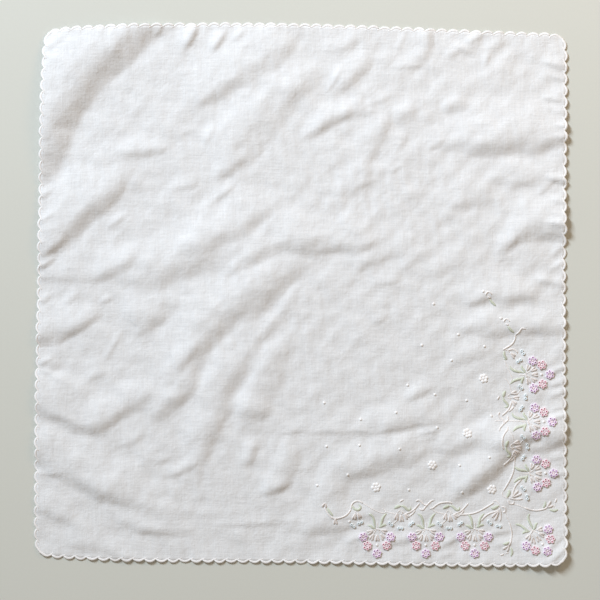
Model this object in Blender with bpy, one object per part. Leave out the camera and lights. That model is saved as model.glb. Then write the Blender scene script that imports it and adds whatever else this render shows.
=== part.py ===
"""Linen handkerchief: one square of fine lawn with a scalloped edge, lying loosely on a table.

Metres, +Z up. The origin is on the table below the middle of the cloth. +X runs to the right and +Y to
the top of the square, so the flowered corner is at +X, -Y. The cloth is one solid: a sheet with the folds
in which it lies, its edge worked in scallops with a raised cord, and the flower heads of the corner raised
in its face.
"""

import math
from collections import namedtuple

import bmesh
import bpy
import numpy as np

MM = 0.001

# The sheet and its corded edge, in millimetres as all that follows, and how many triangles its face may take
CLOTH_THICKNESS = 1.0
EDGE_CORD_RISE = 0.5
TRIANGLES_OF_FACE = 5150

# The scalloped edge. The grid of the face has whole cells to a scallop, so each notch falls on a point.
SCALLOPS_PER_SIDE = 43
CELLS_PER_SCALLOP = 4
CORNER_CELLS = 5
SCALLOP_DEPTH = 2.0
CORNER_ROUNDING = 0.8

# How the edge of a corner stands out: at the corner itself, and more towards its first scallops
CORNER_OVERHANG = 0.35
CORNER_SWELL = 0.6

# Scallops differ a little in depth, as two slow waves along the side give it
SCALLOP_UNEVENNESS = 0.15
QUICK_WAVE_PER_SCALLOP = 2.4
SLOW_WAVE_PER_SCALLOP = 0.9

# Where the two lines of notches meet at each corner, in millimetres from the middle
TOP_LEFT = (-216.0, 223.5)
TOP_RIGHT = (224.6, 219.8)
BOTTOM_LEFT = (-224.0, -220.5)
BOTTOM_RIGHT = (224.6, -228.1)

# How far each side bows outwards at its quarters, in millimetres, from left to right or bottom to top
Bow = namedtuple("Bow", "first_quarter half last_quarter")
TOP_BOW = Bow(5.7, 6.2, 3.0)
BOTTOM_BOW = Bow(2.9, 2.1, 2.5)
LEFT_BOW = Bow(1.4, 1.6, 1.5)
RIGHT_BOW = Bow(-0.7, -1.3, -0.6)

# Each fold is a ridge along a bowed line, in millimetres. It runs so that its steep side is on its left,
# and a bow above 0 is to that side. The gentle side falls away over its width, and the steep side ends at
# its own.
Fold = namedtuple("Fold", "start_x start_y end_x end_y bow gentle_width steep_width height")
FOLDS = (
    # Upper left, from the corner's long ridge down the left side
    Fold(-70, 251, -230, 50, -56, 36, 34, 8.8),
    Fold(-90, 128, -204, 116, 0, 12, 12, 1.4),
    Fold(-128, 124, -260, 8, 0, 26, 20, 5.4),
    Fold(-118, 40, -250, 16, 6, 22, 24, 1.6),
    Fold(-150, 16, -250, 16, 0, 14, 6, 0.7),
    Fold(-134, 38, -180, 14, 0, 14, 12, 2.0),
    Fold(-158, -9, -266, -36, 7, 18, 14, 4.0),
    Fold(-98, -2, -160, -20, 0, 18, 20, 2.6),
    # Top, left of the middle
    Fold(14, 236, -112, 152, 2, 24, 18, 4.0),
    Fold(24, 214, -88, 80, -8, 20, 32, 3.6),
    Fold(22, 196, -22, 164, 0, 10, 15, 1.6),
    Fold(-8, 86, -116, 34, 0, 24, 17, 3.2),
    Fold(-40, 56, -166, 4, 0, 22, 22, 4.2),
    # The long folds across the middle
    Fold(84, 54, -30, 44, 5, 26, 13, 3.0),
    Fold(30, 52, -78, 13, -10, 28, 15, 3.2),
    Fold(25, 38, -125, -78, -14, 27, 23, 5.0),
    Fold(-14, -10, -91, -182, -21, 18, 18, 4.0),
    Fold(-2, -18, -56, -142, -9, 11, 26, 2.6),
    Fold(6, 12, -42, -44, 0, 6, 14, 1.3),
    Fold(-78, -32, -134, -118, 0, 20, 19, 3.8),
    Fold(-15, -97, -68, -97, 0, 9, 10, 1.5),
    # Lower left
    Fold(-148, -124, -285, -66, 0, 24, 15, 4.0),
    Fold(-118, -74, -190, -120, 0, 17, 13, 3.0),
    Fold(-92, -194, -290, -90, 6, 22, 19, 4.2),
    Fold(-156, -208, -300, -138, 0, 14, 13, 2.4),
    Fold(-84, -202, -168, -190, 0, 16, 12, 2.2),
    Fold(-126, -226, -218, -202, 0, 12, 9, 1.5),
    Fold(-190, -62, -246, -46, 0, 18, 8, 1.4),
    Fold(-176, -84, -250, -62, 0, 9, 26, 1.8),
    # Bottom, left of the middle
    Fold(15, -188, -135, -182, 0, 10, 9, 0.7),
    Fold(65, -192, -25, -197, 0, 14, 13, 2.2),
    Fold(-2, -110, -34, -186, 0, 9, 19, 2.6),
    Fold(40, -118, 10, -200, 0, 13, 24, 2.4),
    # Upper right
    Fold(64, 222, 6, 206, 0, 8, 10, 1.4),
    Fold(72, 208, 16, 168, 0, 13, 13, 2.8),
    Fold(68, 160, -8, 126, -7, 13, 12, 3.0),
    Fold(80, 176, 46, 84, -2, 14, 13, 2.2),
    Fold(72, 106, 18, 84, 0, 12, 14, 1.2),
    Fold(120, 214, 86, 196, 0, 10, 10, 1.2),
    Fold(112, 162, 70, 154, 0, 10, 10, 1.2),
    Fold(148, 165, 114, 158, 0, 8, 11, 1.8),
    Fold(250, 136, 108, 124, -4, 26, 18, 4.8),
    Fold(252, 99, 146, 102, 0, 16, 12, 2.0),
    Fold(262, 38, 158, 30, -26, 21, 18, 4.8),
    Fold(184, 52, 164, 20, 0, 8, 8, 1.3),
    Fold(190, 192, 142, 172, 0, 18, 14, 1.2),
    Fold(176, 86, 112, 78, 0, 18, 13, 1.4),
    Fold(112, 46, 34, 26, 0, 16, 15, 2.0),
    Fold(148, 40, 100, 10, 0, 12, 12, 2.0),
    # Right
    Fold(214, 1, 120, -5, -3, 15, 15, 2.8),
    Fold(250, -24, 112, -28, 0, 14, 13, 3.4),
    Fold(176, -32, 114, -68, 0, 13, 13, 2.2),
    # Lower right
    Fold(130, -110, -50, -119, 0, 16, 6, 1.5),
    Fold(132, -102, 52, -106, 0, 16, 15, 2.4),
    Fold(118, -128, 24, -148, 0, 20, 21, 3.6),
    Fold(158, -120, 104, -132, 0, 13, 14, 2.4),
    Fold(270, -110, 118, -122, 0, 15, 16, 3.4),
    Fold(212, -106, 120, -184, -7, 15, 19, 5.0),
)

# Broad rises, mostly where the edge stands off the table, in millimetres
Rise = namedtuple("Rise", "x y length_x length_y height")
RISES = (
    Rise(236, -238, 46, 42, 6.4),
    Rise(236, 150, 22, 90, 1.6),
    Rise(236, -40, 22, 110, 1.9),
    Rise(90, -238, 130, 22, 1.9),
    Rise(-130, -234, 90, 20, 1.3),
    Rise(150, 90, 60, 50, 0.6),
    Rise(-60, -20, 60, 50, 0.6),
)

# A fold fades and narrows over this share of its length at each end
FADE_OF_FOLD = 0.38
NARROWEST_SHARE = 0.5

# How sharply the steep side of a fold meets the cloth below it
FOOT_SHARPNESS = 2.0

# The cloth wanders a little from the lines above. Each wave has its length, how far it carries the folds, and
# where it starts, and moves points to the right along one direction and up along another.
Wander = namedtuple("Wander", "wave_length reach start")
WANDERS = (Wander(94.0, 1.2, 0.4), Wander(47.0, 0.9, 2.1), Wander(23.0, 0.5, 4.0))
WANDER_RIGHT_ALONG = (0.6, 0.8)
WANDER_UP_ALONG = (0.9, -0.5)

# How far the table cuts into the waves, over what height the cloth bends up from it, and below what height
# it counts as lying on it
SETTLING = 0.7
SOFTNESS_OF_CONTACT = 0.35
TOUCHING = 0.05

# The sprays of flower heads. Each side of the corner has three, at distances from it, and the corner has its
# own. The right side's line of hubs slants a little inwards. A head's place is from its spray's hub, and the
# same on both sides of the spray.
CORNER_POINT = (226.0, -230.0)
SPRAYS_ALONG_BOTTOM = (78.2, 119.7, 161.1)
SPRAYS_ALONG_RIGHT = (78.3, 122.3, 162.1)
SPRAY_INSET_BOTTOM = 30.6
SPRAY_INSET_RIGHT = 28.4
SLANT_OF_RIGHT = 0.039
CORNER_SPRAY_INSET = 29.0
CORNER_SPRAY_TURN = math.radians(-8.0)
Head = namedtuple("Head", "side outward")
HEADS = (Head(-11.6, 6.3), Head(-8.1, 13.8), Head(0.0, 20.3), Head(8.1, 13.8), Head(11.6, 6.3))
FLOWER_RADIUS = 4.4
FLOWER_RISE = 1.2

# The single white florets, by how far each is from the two sides, mirrored about the corner's diagonal
Floret = namedtuple("Floret", "from_one_side from_other_side")
FLORETS = (Floret(64.5, 64.5), Floret(114.0, 85.0), Floret(160.0, 68.5))
FLORET_RADIUS = 4.0
FLORET_RISE = 0.8

LINEN = (0.80, 0.81, 0.82, 1.0)
LINEN_ROUGHNESS = 0.85
SHARPEST_SMOOTH_ANGLE = math.radians(50.0)


def clear_scene():
    for obj in list(bpy.data.objects):
        bpy.data.objects.remove(obj, do_unlink=True)


def smooth_step(t):
    t = np.clip(t, 0.0, 1.0)
    return t * t * (3.0 - 2.0 * t)


def bow_at(bow, t):
    """The outward bow at t, on the quartic that is 0 at both corners and takes the bow's three values."""
    stations = (0.25, 0.5, 0.75)
    total = np.zeros_like(t)
    for station, value in zip(stations, bow):
        others = [s for s in (0.0, *stations, 1.0) if s != station]
        top = math.prod(station - s for s in others)
        term = np.ones_like(t)
        for other in others:
            term = term * (t - other)
        total += value * term / top
    return total


def lay_out(u, v):
    """The place on the cloth of each point of a unit square."""
    along_bottom = np.outer(1.0 - u, BOTTOM_LEFT) + np.outer(u, BOTTOM_RIGHT)
    along_top = np.outer(1.0 - u, TOP_LEFT) + np.outer(u, TOP_RIGHT)
    place = along_bottom * (1.0 - v)[:, None] + along_top * v[:, None]
    place[:, 0] += u * bow_at(RIGHT_BOW, v) - (1.0 - u) * bow_at(LEFT_BOW, v)
    place[:, 1] += v * bow_at(TOP_BOW, u) - (1.0 - v) * bow_at(BOTTOM_BOW, u)
    return place


def scallop_bulge(cell, cells):
    """How far the edge stands out at a point of a side, counted in cells from one corner."""
    from_corner = np.minimum(cell, cells - cell)
    reach = np.clip((CORNER_CELLS - from_corner) / CORNER_CELLS, 0.0, 1.0)
    corner_bulge = CORNER_OVERHANG * np.sin(0.5 * math.pi * reach) + CORNER_SWELL * np.sin(math.pi * reach)
    number, phase = np.divmod(cell - CORNER_CELLS, CELLS_PER_SCALLOP)
    arc = 1.0 - (2.0 * phase / CELLS_PER_SCALLOP - 1.0) ** 2
    waves = np.sin(QUICK_WAVE_PER_SCALLOP * number) * np.cos(SLOW_WAVE_PER_SCALLOP * number)
    arc = arc * (1.0 + SCALLOP_UNEVENNESS * waves)
    return SCALLOP_DEPTH * np.where(from_corner < CORNER_CELLS, corner_bulge, arc)


def round_corner(toward_x, toward_y):
    """Rounds the corner of a unit square at (1, 1) and leaves its two inner sides where they are."""
    rounded_x = toward_x * np.sqrt(1.0 - 0.5 * CORNER_ROUNDING * toward_y**2)
    rounded_y = toward_y * np.sqrt(1.0 - 0.5 * CORNER_ROUNDING * toward_x**2)
    return rounded_x, rounded_y


def outline_and_grid(column, row, cells):
    """Places of the grid's points in millimetres, from their column and row."""
    toward_x = (CORNER_CELLS - np.minimum(column, cells - column)) / CORNER_CELLS
    toward_y = (CORNER_CELLS - np.minimum(row, cells - row)) / CORNER_CELLS
    in_corner = (toward_x > 0.0) & (toward_y > 0.0)
    rounded_x, rounded_y = round_corner(np.clip(toward_x, 0.0, 1.0), np.clip(toward_y, 0.0, 1.0))
    side_x = np.where(column < cells / 2, -1.0, 1.0)
    side_y = np.where(row < cells / 2, -1.0, 1.0)
    inset = cells / 2 - CORNER_CELLS
    moved_column = np.where(in_corner, cells / 2 + side_x * (inset + CORNER_CELLS * rounded_x), column)
    moved_row = np.where(in_corner, cells / 2 + side_y * (inset + CORNER_CELLS * rounded_y), row)
    place = lay_out(moved_column / cells, moved_row / cells)
    on_side = (column == 0) | (column == cells)
    on_end = (row == 0) | (row == cells)
    place[:, 0] += np.where(on_side, side_x * scallop_bulge(row, cells), 0.0)
    place[:, 1] += np.where(on_end, side_y * scallop_bulge(column, cells), 0.0)
    return place


def ridge(fold, x, y):
    """The rise that one fold gives at each point."""
    run_x, run_y = fold.end_x - fold.start_x, fold.end_y - fold.start_y
    length = math.hypot(run_x, run_y)
    along = ((x - fold.start_x) * run_x + (y - fold.start_y) * run_y) / length**2
    across = ((y - fold.start_y) * run_x - (x - fold.start_x) * run_y) / length
    across = across - fold.bow * 4.0 * along * (1.0 - along)
    fade = smooth_step(along / FADE_OF_FOLD) * smooth_step((1.0 - along) / FADE_OF_FOLD)
    narrowed = NARROWEST_SHARE + (1.0 - NARROWEST_SHARE) * fade
    gentle = np.exp(-((across / (fold.gentle_width * narrowed)) ** 2))
    steep = np.clip(1.0 - (across / (fold.steep_width * narrowed)) ** 2, 0.0, 1.0) ** FOOT_SHARPNESS
    return fold.height * fade * np.where(across > 0.0, steep, gentle)


def wandered(x, y):
    """Each point moved a few millimetres, so that no fold runs as straight as its line."""
    moved_x, moved_y = np.array(x, dtype=float), np.array(y, dtype=float)
    for wander in WANDERS:
        turns = math.tau / wander.wave_length
        for_right = WANDER_RIGHT_ALONG[0] * x + WANDER_RIGHT_ALONG[1] * y
        for_up = WANDER_UP_ALONG[0] * x + WANDER_UP_ALONG[1] * y
        moved_x = moved_x + wander.reach * np.sin(turns * for_right + wander.start)
        moved_y = moved_y + wander.reach * np.sin(turns * for_up + 2.0 * wander.start)
    return moved_x, moved_y


def height_of_folds(x, y):
    """How far the underside is off the table at each point. It is exactly 0 where the cloth lies flat."""
    x, y = wandered(x, y)
    total = np.full_like(x, -SETTLING)
    for fold in FOLDS:
        total += ridge(fold, x, y)
    for rise in RISES:
        away = ((x - rise.x) / rise.length_x) ** 2 + ((y - rise.y) / rise.length_y) ** 2
        total += rise.height * np.exp(-away)
    soft = SOFTNESS_OF_CONTACT
    blended = np.where(total > soft, total, (np.maximum(total, -soft) + soft) ** 2 / (4.0 * soft))
    return np.where(blended < TOUCHING, 0.0, blended)


def spray(hub_x, hub_y, facing):
    """Centres of one spray's flower heads. It faces the edge of the cloth, at an angle from +X."""
    for head in HEADS:
        yield (
            hub_x + head.outward * math.cos(facing) - head.side * math.sin(facing),
            hub_y + head.outward * math.sin(facing) + head.side * math.cos(facing),
        )


def flower_places():
    corner_x, corner_y = CORNER_POINT
    to_right, to_bottom, to_corner = 0.0, math.radians(-90.0), math.radians(-45.0)
    for distance in SPRAYS_ALONG_BOTTOM:
        yield from spray(corner_x - distance, corner_y + SPRAY_INSET_BOTTOM, to_bottom)
    for distance in SPRAYS_ALONG_RIGHT:
        inset = SPRAY_INSET_RIGHT + SLANT_OF_RIGHT * distance
        yield from spray(corner_x - inset, corner_y + distance, to_right)
    yield from spray(
        corner_x - CORNER_SPRAY_INSET, corner_y + CORNER_SPRAY_INSET, to_corner + CORNER_SPRAY_TURN
    )


def floret_places():
    corner_x, corner_y = CORNER_POINT
    for floret in FLORETS:
        yield corner_x - floret.from_one_side, corner_y + floret.from_other_side
        if floret.from_one_side != floret.from_other_side:
            yield corner_x - floret.from_other_side, corner_y + floret.from_one_side


def thread_rise(x, y):
    """The rise of the flower heads and florets: low domes with a steep rim."""
    total = np.zeros_like(x)
    kinds = ((flower_places(), FLOWER_RADIUS, FLOWER_RISE), (floret_places(), FLORET_RADIUS, FLORET_RISE))
    for places, radius, rise in kinds:
        for centre_x, centre_y in places:
            share_of_radius = np.hypot(x - centre_x, y - centre_y) / radius
            total = np.maximum(total, rise * np.clip(1.0 - share_of_radius**4, 0.0, 1.0))
    return total


def set_heights(bm, edge_points, height):
    """Moves each point to the height that the function gives for its place."""
    x = np.array([point.co.x for point in bm.verts]) / MM
    y = np.array([point.co.y for point in bm.verts]) / MM
    for point, z in zip(bm.verts, height(x, y)):
        point.co.z = (z + (EDGE_CORD_RISE if point in edge_points else 0.0)) * MM


def upper_height(x, y):
    return height_of_folds(x, y) + CLOTH_THICKNESS + thread_rise(x, y)


def make_face(collection):
    """The upper face on a fine grid, thinned to the triangles that its folds, edge and flowers need."""
    cells = SCALLOPS_PER_SIDE * CELLS_PER_SCALLOP + 2 * CORNER_CELLS
    bm = bmesh.new()
    bmesh.ops.create_grid(bm, x_segments=cells, y_segments=cells, size=0.5)
    column = np.array([round((point.co.x + 0.5) * cells) for point in bm.verts])
    row = np.array([round((point.co.y + 0.5) * cells) for point in bm.verts])
    for point, (x, y) in zip(bm.verts, outline_and_grid(column, row, cells)):
        point.co = (x * MM, y * MM, 0.0)
    set_heights(bm, set(), upper_height)
    mesh = bpy.data.meshes.new("handkerchief_face")
    bm.to_mesh(mesh)
    bm.free()
    face = bpy.data.objects.new("handkerchief_face", mesh)
    collection.objects.link(face)
    thin = face.modifiers.new("Thin", "DECIMATE")
    thin.ratio = TRIANGLES_OF_FACE / (2 * cells * cells)
    bpy.context.view_layer.update()
    thinned = bpy.data.meshes.new_from_object(face.evaluated_get(bpy.context.evaluated_depsgraph_get()))
    bpy.data.objects.remove(face, do_unlink=True)
    return thinned


def make_linen():
    linen = bpy.data.materials.new("linen")
    linen.use_nodes = True
    shader = linen.node_tree.nodes["Principled BSDF"]
    shader.inputs["Base Color"].default_value = LINEN
    shader.inputs["Roughness"].default_value = LINEN_ROUGHNESS
    shader.inputs["Metallic"].default_value = 0.0
    return linen


def make_cloth(collection):
    """The whole handkerchief: its thinned face, and the same points lower down as its underside."""
    face = make_face(collection)
    bm = bmesh.new()
    bm.from_mesh(face)
    bmesh.ops.triangulate(bm, faces=bm.faces)
    edge_points = {point for point in bm.verts if point.is_boundary}
    set_heights(bm, edge_points, upper_height)
    upper_faces = list(bm.faces)
    lower = bmesh.ops.extrude_face_region(bm, geom=upper_faces, use_keep_orig=True)
    lower_points = [item for item in lower["geom"] if isinstance(item, bmesh.types.BMVert)]
    x = np.array([point.co.x for point in lower_points]) / MM
    y = np.array([point.co.y for point in lower_points]) / MM
    for point, z in zip(lower_points, height_of_folds(x, y)):
        point.co.z = z * MM
    bmesh.ops.recalc_face_normals(bm, faces=bm.faces)
    mesh = bpy.data.meshes.new("handkerchief_cloth")
    bm.to_mesh(mesh)
    bm.free()
    mesh.shade_smooth()
    mesh.set_sharp_from_angle(angle=SHARPEST_SMOOTH_ANGLE)
    mesh.materials.append(make_linen())
    cloth = bpy.data.objects.new("handkerchief_cloth", mesh)
    collection.objects.link(cloth)
    return cloth


def main():
    clear_scene()
    collection = bpy.data.collections.new("Handkerchief")
    bpy.context.scene.collection.children.link(collection)
    make_cloth(collection)


if __name__ == "__main__":
    main()
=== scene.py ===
"""Linen handkerchief with a scalloped corded edge and a flowered corner, laid out flat and seen from above.

The cloth is one thin sheet on the folds of its solid, with finer creases added. The edge, the flower heads,
leaves, bells, stems and dots are thread work that lies on it. Tables are in millimetres from the middle of
the cloth, +X to the right and +Y to its top side.
"""

import math
from collections import namedtuple

import bmesh
import bpy
import numpy as np
from bpy.props import FloatProperty, FloatVectorProperty, PointerProperty
from mathutils import Matrix, Vector


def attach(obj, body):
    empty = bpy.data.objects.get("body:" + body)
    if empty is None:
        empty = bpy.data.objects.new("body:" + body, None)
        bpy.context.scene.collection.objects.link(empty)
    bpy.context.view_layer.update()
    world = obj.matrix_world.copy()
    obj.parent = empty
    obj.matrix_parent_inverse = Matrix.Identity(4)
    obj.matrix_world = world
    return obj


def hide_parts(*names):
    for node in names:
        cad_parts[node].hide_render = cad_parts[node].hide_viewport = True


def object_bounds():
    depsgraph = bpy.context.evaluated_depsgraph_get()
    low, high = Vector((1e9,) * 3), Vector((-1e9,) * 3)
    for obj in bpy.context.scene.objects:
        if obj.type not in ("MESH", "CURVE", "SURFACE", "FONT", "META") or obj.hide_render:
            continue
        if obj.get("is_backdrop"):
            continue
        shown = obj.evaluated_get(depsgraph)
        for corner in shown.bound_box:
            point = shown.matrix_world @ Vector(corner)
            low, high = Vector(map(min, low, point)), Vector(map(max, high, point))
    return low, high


bl_info = {
    "name": "Linen Handkerchief",
    "version": (1, 0, 0),
    "blender": (4, 5, 0),
    "location": "View3D > Sidebar > Handkerchief",
    "description": "Adds a linen handkerchief with a scalloped edge and a flowered corner, and its stage",
    "category": "Add Mesh",
}

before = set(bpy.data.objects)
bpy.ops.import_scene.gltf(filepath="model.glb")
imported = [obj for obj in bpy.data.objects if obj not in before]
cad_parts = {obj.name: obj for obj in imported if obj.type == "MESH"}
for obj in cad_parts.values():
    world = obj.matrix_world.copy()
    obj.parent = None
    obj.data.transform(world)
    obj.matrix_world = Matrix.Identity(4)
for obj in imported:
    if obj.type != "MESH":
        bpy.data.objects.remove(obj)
SOLID_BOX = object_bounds()
SOLID = "handkerchief_cloth"

MM = 0.001

# The flat size that the sheet was cut to, in metres
FLAT_WIDTH = 0.450
FLAT_LENGTH = 0.455

# The scalloped edge. Places along a side are counted in scallops, and a corner takes a little more than one.
SCALLOPS_PER_SIDE = 43
CORNER_WIDTH = 1.25
SIDE = SCALLOPS_PER_SIDE + 2 * CORNER_WIDTH
SCALLOP_DEPTH = 2.0
CORNER_ROUNDING = 0.8

# How the edge of a corner stands out: at the corner itself, and more towards its first scallops
CORNER_OVERHANG = 0.35
CORNER_SWELL = 0.6
SCALLOP_UNEVENNESS = 0.15
QUICK_WAVE_PER_SCALLOP = 2.4
SLOW_WAVE_PER_SCALLOP = 0.9

# The grid of the sheet: cells to a scallop and to a corner
CELLS_PER_SCALLOP = 6
CORNER_CELLS = 7
CELLS = SCALLOPS_PER_SIDE * CELLS_PER_SCALLOP + 2 * CORNER_CELLS

# The underside keeps its whole grid only this near the rim, in cells
WHOLE_RIM_CELLS = 2.5

# Where the two lines of notches meet at each corner
TOP_LEFT = (-216.0, 223.5)
TOP_RIGHT = (224.6, 219.8)
BOTTOM_LEFT = (-224.0, -220.5)
BOTTOM_RIGHT = (224.6, -228.1)

# How far each side bows outwards at its quarters, from left to right or bottom to top
Bow = namedtuple("Bow", "first_quarter half last_quarter")
TOP_BOW = Bow(5.7, 6.2, 3.0)
BOTTOM_BOW = Bow(2.9, 2.1, 2.5)
LEFT_BOW = Bow(1.4, 1.6, 1.5)
RIGHT_BOW = Bow(-0.7, -1.3, -0.6)

# Each fold is a ridge along a bowed line. It runs so that its steep side is on its left, and a bow above 0 is
# to that side. The widths are those over which each side falls away.
Fold = namedtuple("Fold", "start_x start_y end_x end_y bow gentle_width steep_width height")
FOLDS = (
    # Upper left, from the corner's long ridge down the left side
    Fold(-70, 251, -230, 50, -56, 36, 34, 8.8),
    Fold(-90, 128, -204, 116, 0, 12, 12, 1.4),
    Fold(-128, 124, -260, 8, 0, 26, 20, 5.4),
    Fold(-118, 40, -250, 16, 6, 22, 24, 1.6),
    Fold(-150, 16, -250, 16, 0, 14, 6, 0.7),
    Fold(-134, 38, -180, 14, 0, 14, 12, 2.0),
    Fold(-158, -9, -266, -36, 7, 18, 14, 4.0),
    Fold(-98, -2, -160, -20, 0, 18, 20, 2.6),
    # Top, left of the middle
    Fold(14, 236, -112, 152, 2, 24, 18, 4.0),
    Fold(24, 214, -88, 80, -8, 20, 32, 3.6),
    Fold(22, 196, -22, 164, 0, 10, 15, 1.6),
    Fold(-8, 86, -116, 34, 0, 24, 17, 3.2),
    Fold(-40, 56, -166, 4, 0, 22, 22, 4.2),
    # The long folds across the middle
    Fold(84, 54, -30, 44, 5, 26, 13, 3.0),
    Fold(30, 52, -78, 13, -10, 28, 15, 3.2),
    Fold(25, 38, -125, -78, -14, 27, 23, 5.0),
    Fold(-14, -10, -91, -182, -21, 18, 18, 4.0),
    Fold(-2, -18, -56, -142, -9, 11, 26, 2.6),
    Fold(6, 12, -42, -44, 0, 6, 14, 1.3),
    Fold(-78, -32, -134, -118, 0, 20, 19, 3.8),
    Fold(-15, -97, -68, -97, 0, 9, 10, 1.5),
    # Lower left
    Fold(-148, -124, -285, -66, 0, 24, 15, 4.0),
    Fold(-118, -74, -190, -120, 0, 17, 13, 3.0),
    Fold(-92, -194, -290, -90, 6, 22, 19, 4.2),
    Fold(-156, -208, -300, -138, 0, 14, 13, 2.4),
    Fold(-84, -202, -168, -190, 0, 16, 12, 2.2),
    Fold(-126, -226, -218, -202, 0, 12, 9, 1.5),
    Fold(-190, -62, -246, -46, 0, 18, 8, 1.4),
    Fold(-176, -84, -250, -62, 0, 9, 26, 1.8),
    # Bottom, left of the middle
    Fold(15, -188, -135, -182, 0, 10, 9, 0.7),
    Fold(65, -192, -25, -197, 0, 14, 13, 2.2),
    Fold(-2, -110, -34, -186, 0, 9, 19, 2.6),
    Fold(40, -118, 10, -200, 0, 13, 24, 2.4),
    # Upper right
    Fold(64, 222, 6, 206, 0, 8, 10, 1.4),
    Fold(72, 208, 16, 168, 0, 13, 13, 2.8),
    Fold(68, 160, -8, 126, -7, 13, 12, 3.0),
    Fold(80, 176, 46, 84, -2, 14, 13, 2.2),
    Fold(72, 106, 18, 84, 0, 12, 14, 1.2),
    Fold(120, 214, 86, 196, 0, 10, 10, 1.2),
    Fold(112, 162, 70, 154, 0, 10, 10, 1.2),
    Fold(148, 165, 114, 158, 0, 8, 11, 1.8),
    Fold(250, 136, 108, 124, -4, 26, 18, 4.8),
    Fold(252, 99, 146, 102, 0, 16, 12, 2.0),
    Fold(262, 38, 158, 30, -26, 21, 18, 4.8),
    Fold(184, 52, 164, 20, 0, 8, 8, 1.3),
    Fold(190, 192, 142, 172, 0, 18, 14, 1.2),
    Fold(176, 86, 112, 78, 0, 18, 13, 1.4),
    Fold(112, 46, 34, 26, 0, 16, 15, 2.0),
    Fold(148, 40, 100, 10, 0, 12, 12, 2.0),
    # Right
    Fold(214, 1, 120, -5, -3, 15, 15, 2.8),
    Fold(250, -24, 112, -28, 0, 14, 13, 3.4),
    Fold(176, -32, 114, -68, 0, 13, 13, 2.2),
    # Lower right
    Fold(130, -110, -50, -119, 0, 16, 6, 1.5),
    Fold(132, -102, 52, -106, 0, 16, 15, 2.4),
    Fold(118, -128, 24, -148, 0, 20, 21, 3.6),
    Fold(158, -120, 104, -132, 0, 13, 14, 2.4),
    Fold(270, -110, 118, -122, 0, 15, 16, 3.4),
    Fold(212, -106, 120, -184, -7, 15, 19, 5.0),
)

# Broad rises, mostly where the edge stands off the table
Rise = namedtuple("Rise", "x y length_x length_y height")
RISES = (
    Rise(236, -238, 46, 42, 6.4),
    Rise(236, 150, 22, 90, 1.6),
    Rise(236, -40, 22, 110, 1.9),
    Rise(90, -238, 130, 22, 1.9),
    Rise(-130, -234, 90, 20, 1.3),
    Rise(150, 90, 60, 50, 0.6),
    Rise(-60, -20, 60, 50, 0.6),
)

# A fold fades and narrows over this share of its length at each end
FADE_OF_FOLD = 0.38
NARROWEST_SHARE = 0.5

# How sharply the steep side of a fold meets the cloth below it
FOOT_SHARPNESS = 2.0

# The cloth wanders a little from the lines above. Each wave has its length, how far it carries the folds, and
# where it starts, and moves points to the right along one direction and up along another.
Wander = namedtuple("Wander", "wave_length reach start")
WANDERS = (Wander(94.0, 1.2, 0.4), Wander(47.0, 0.9, 2.1), Wander(23.0, 0.5, 4.0))
WANDER_RIGHT_ALONG = (0.6, 0.8)
WANDER_UP_ALONG = (0.9, -0.5)

# How far the table cuts into the waves, and over what height the cloth bends up from it
SETTLING = 0.7
SOFTNESS_OF_CONTACT = 0.35

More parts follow.
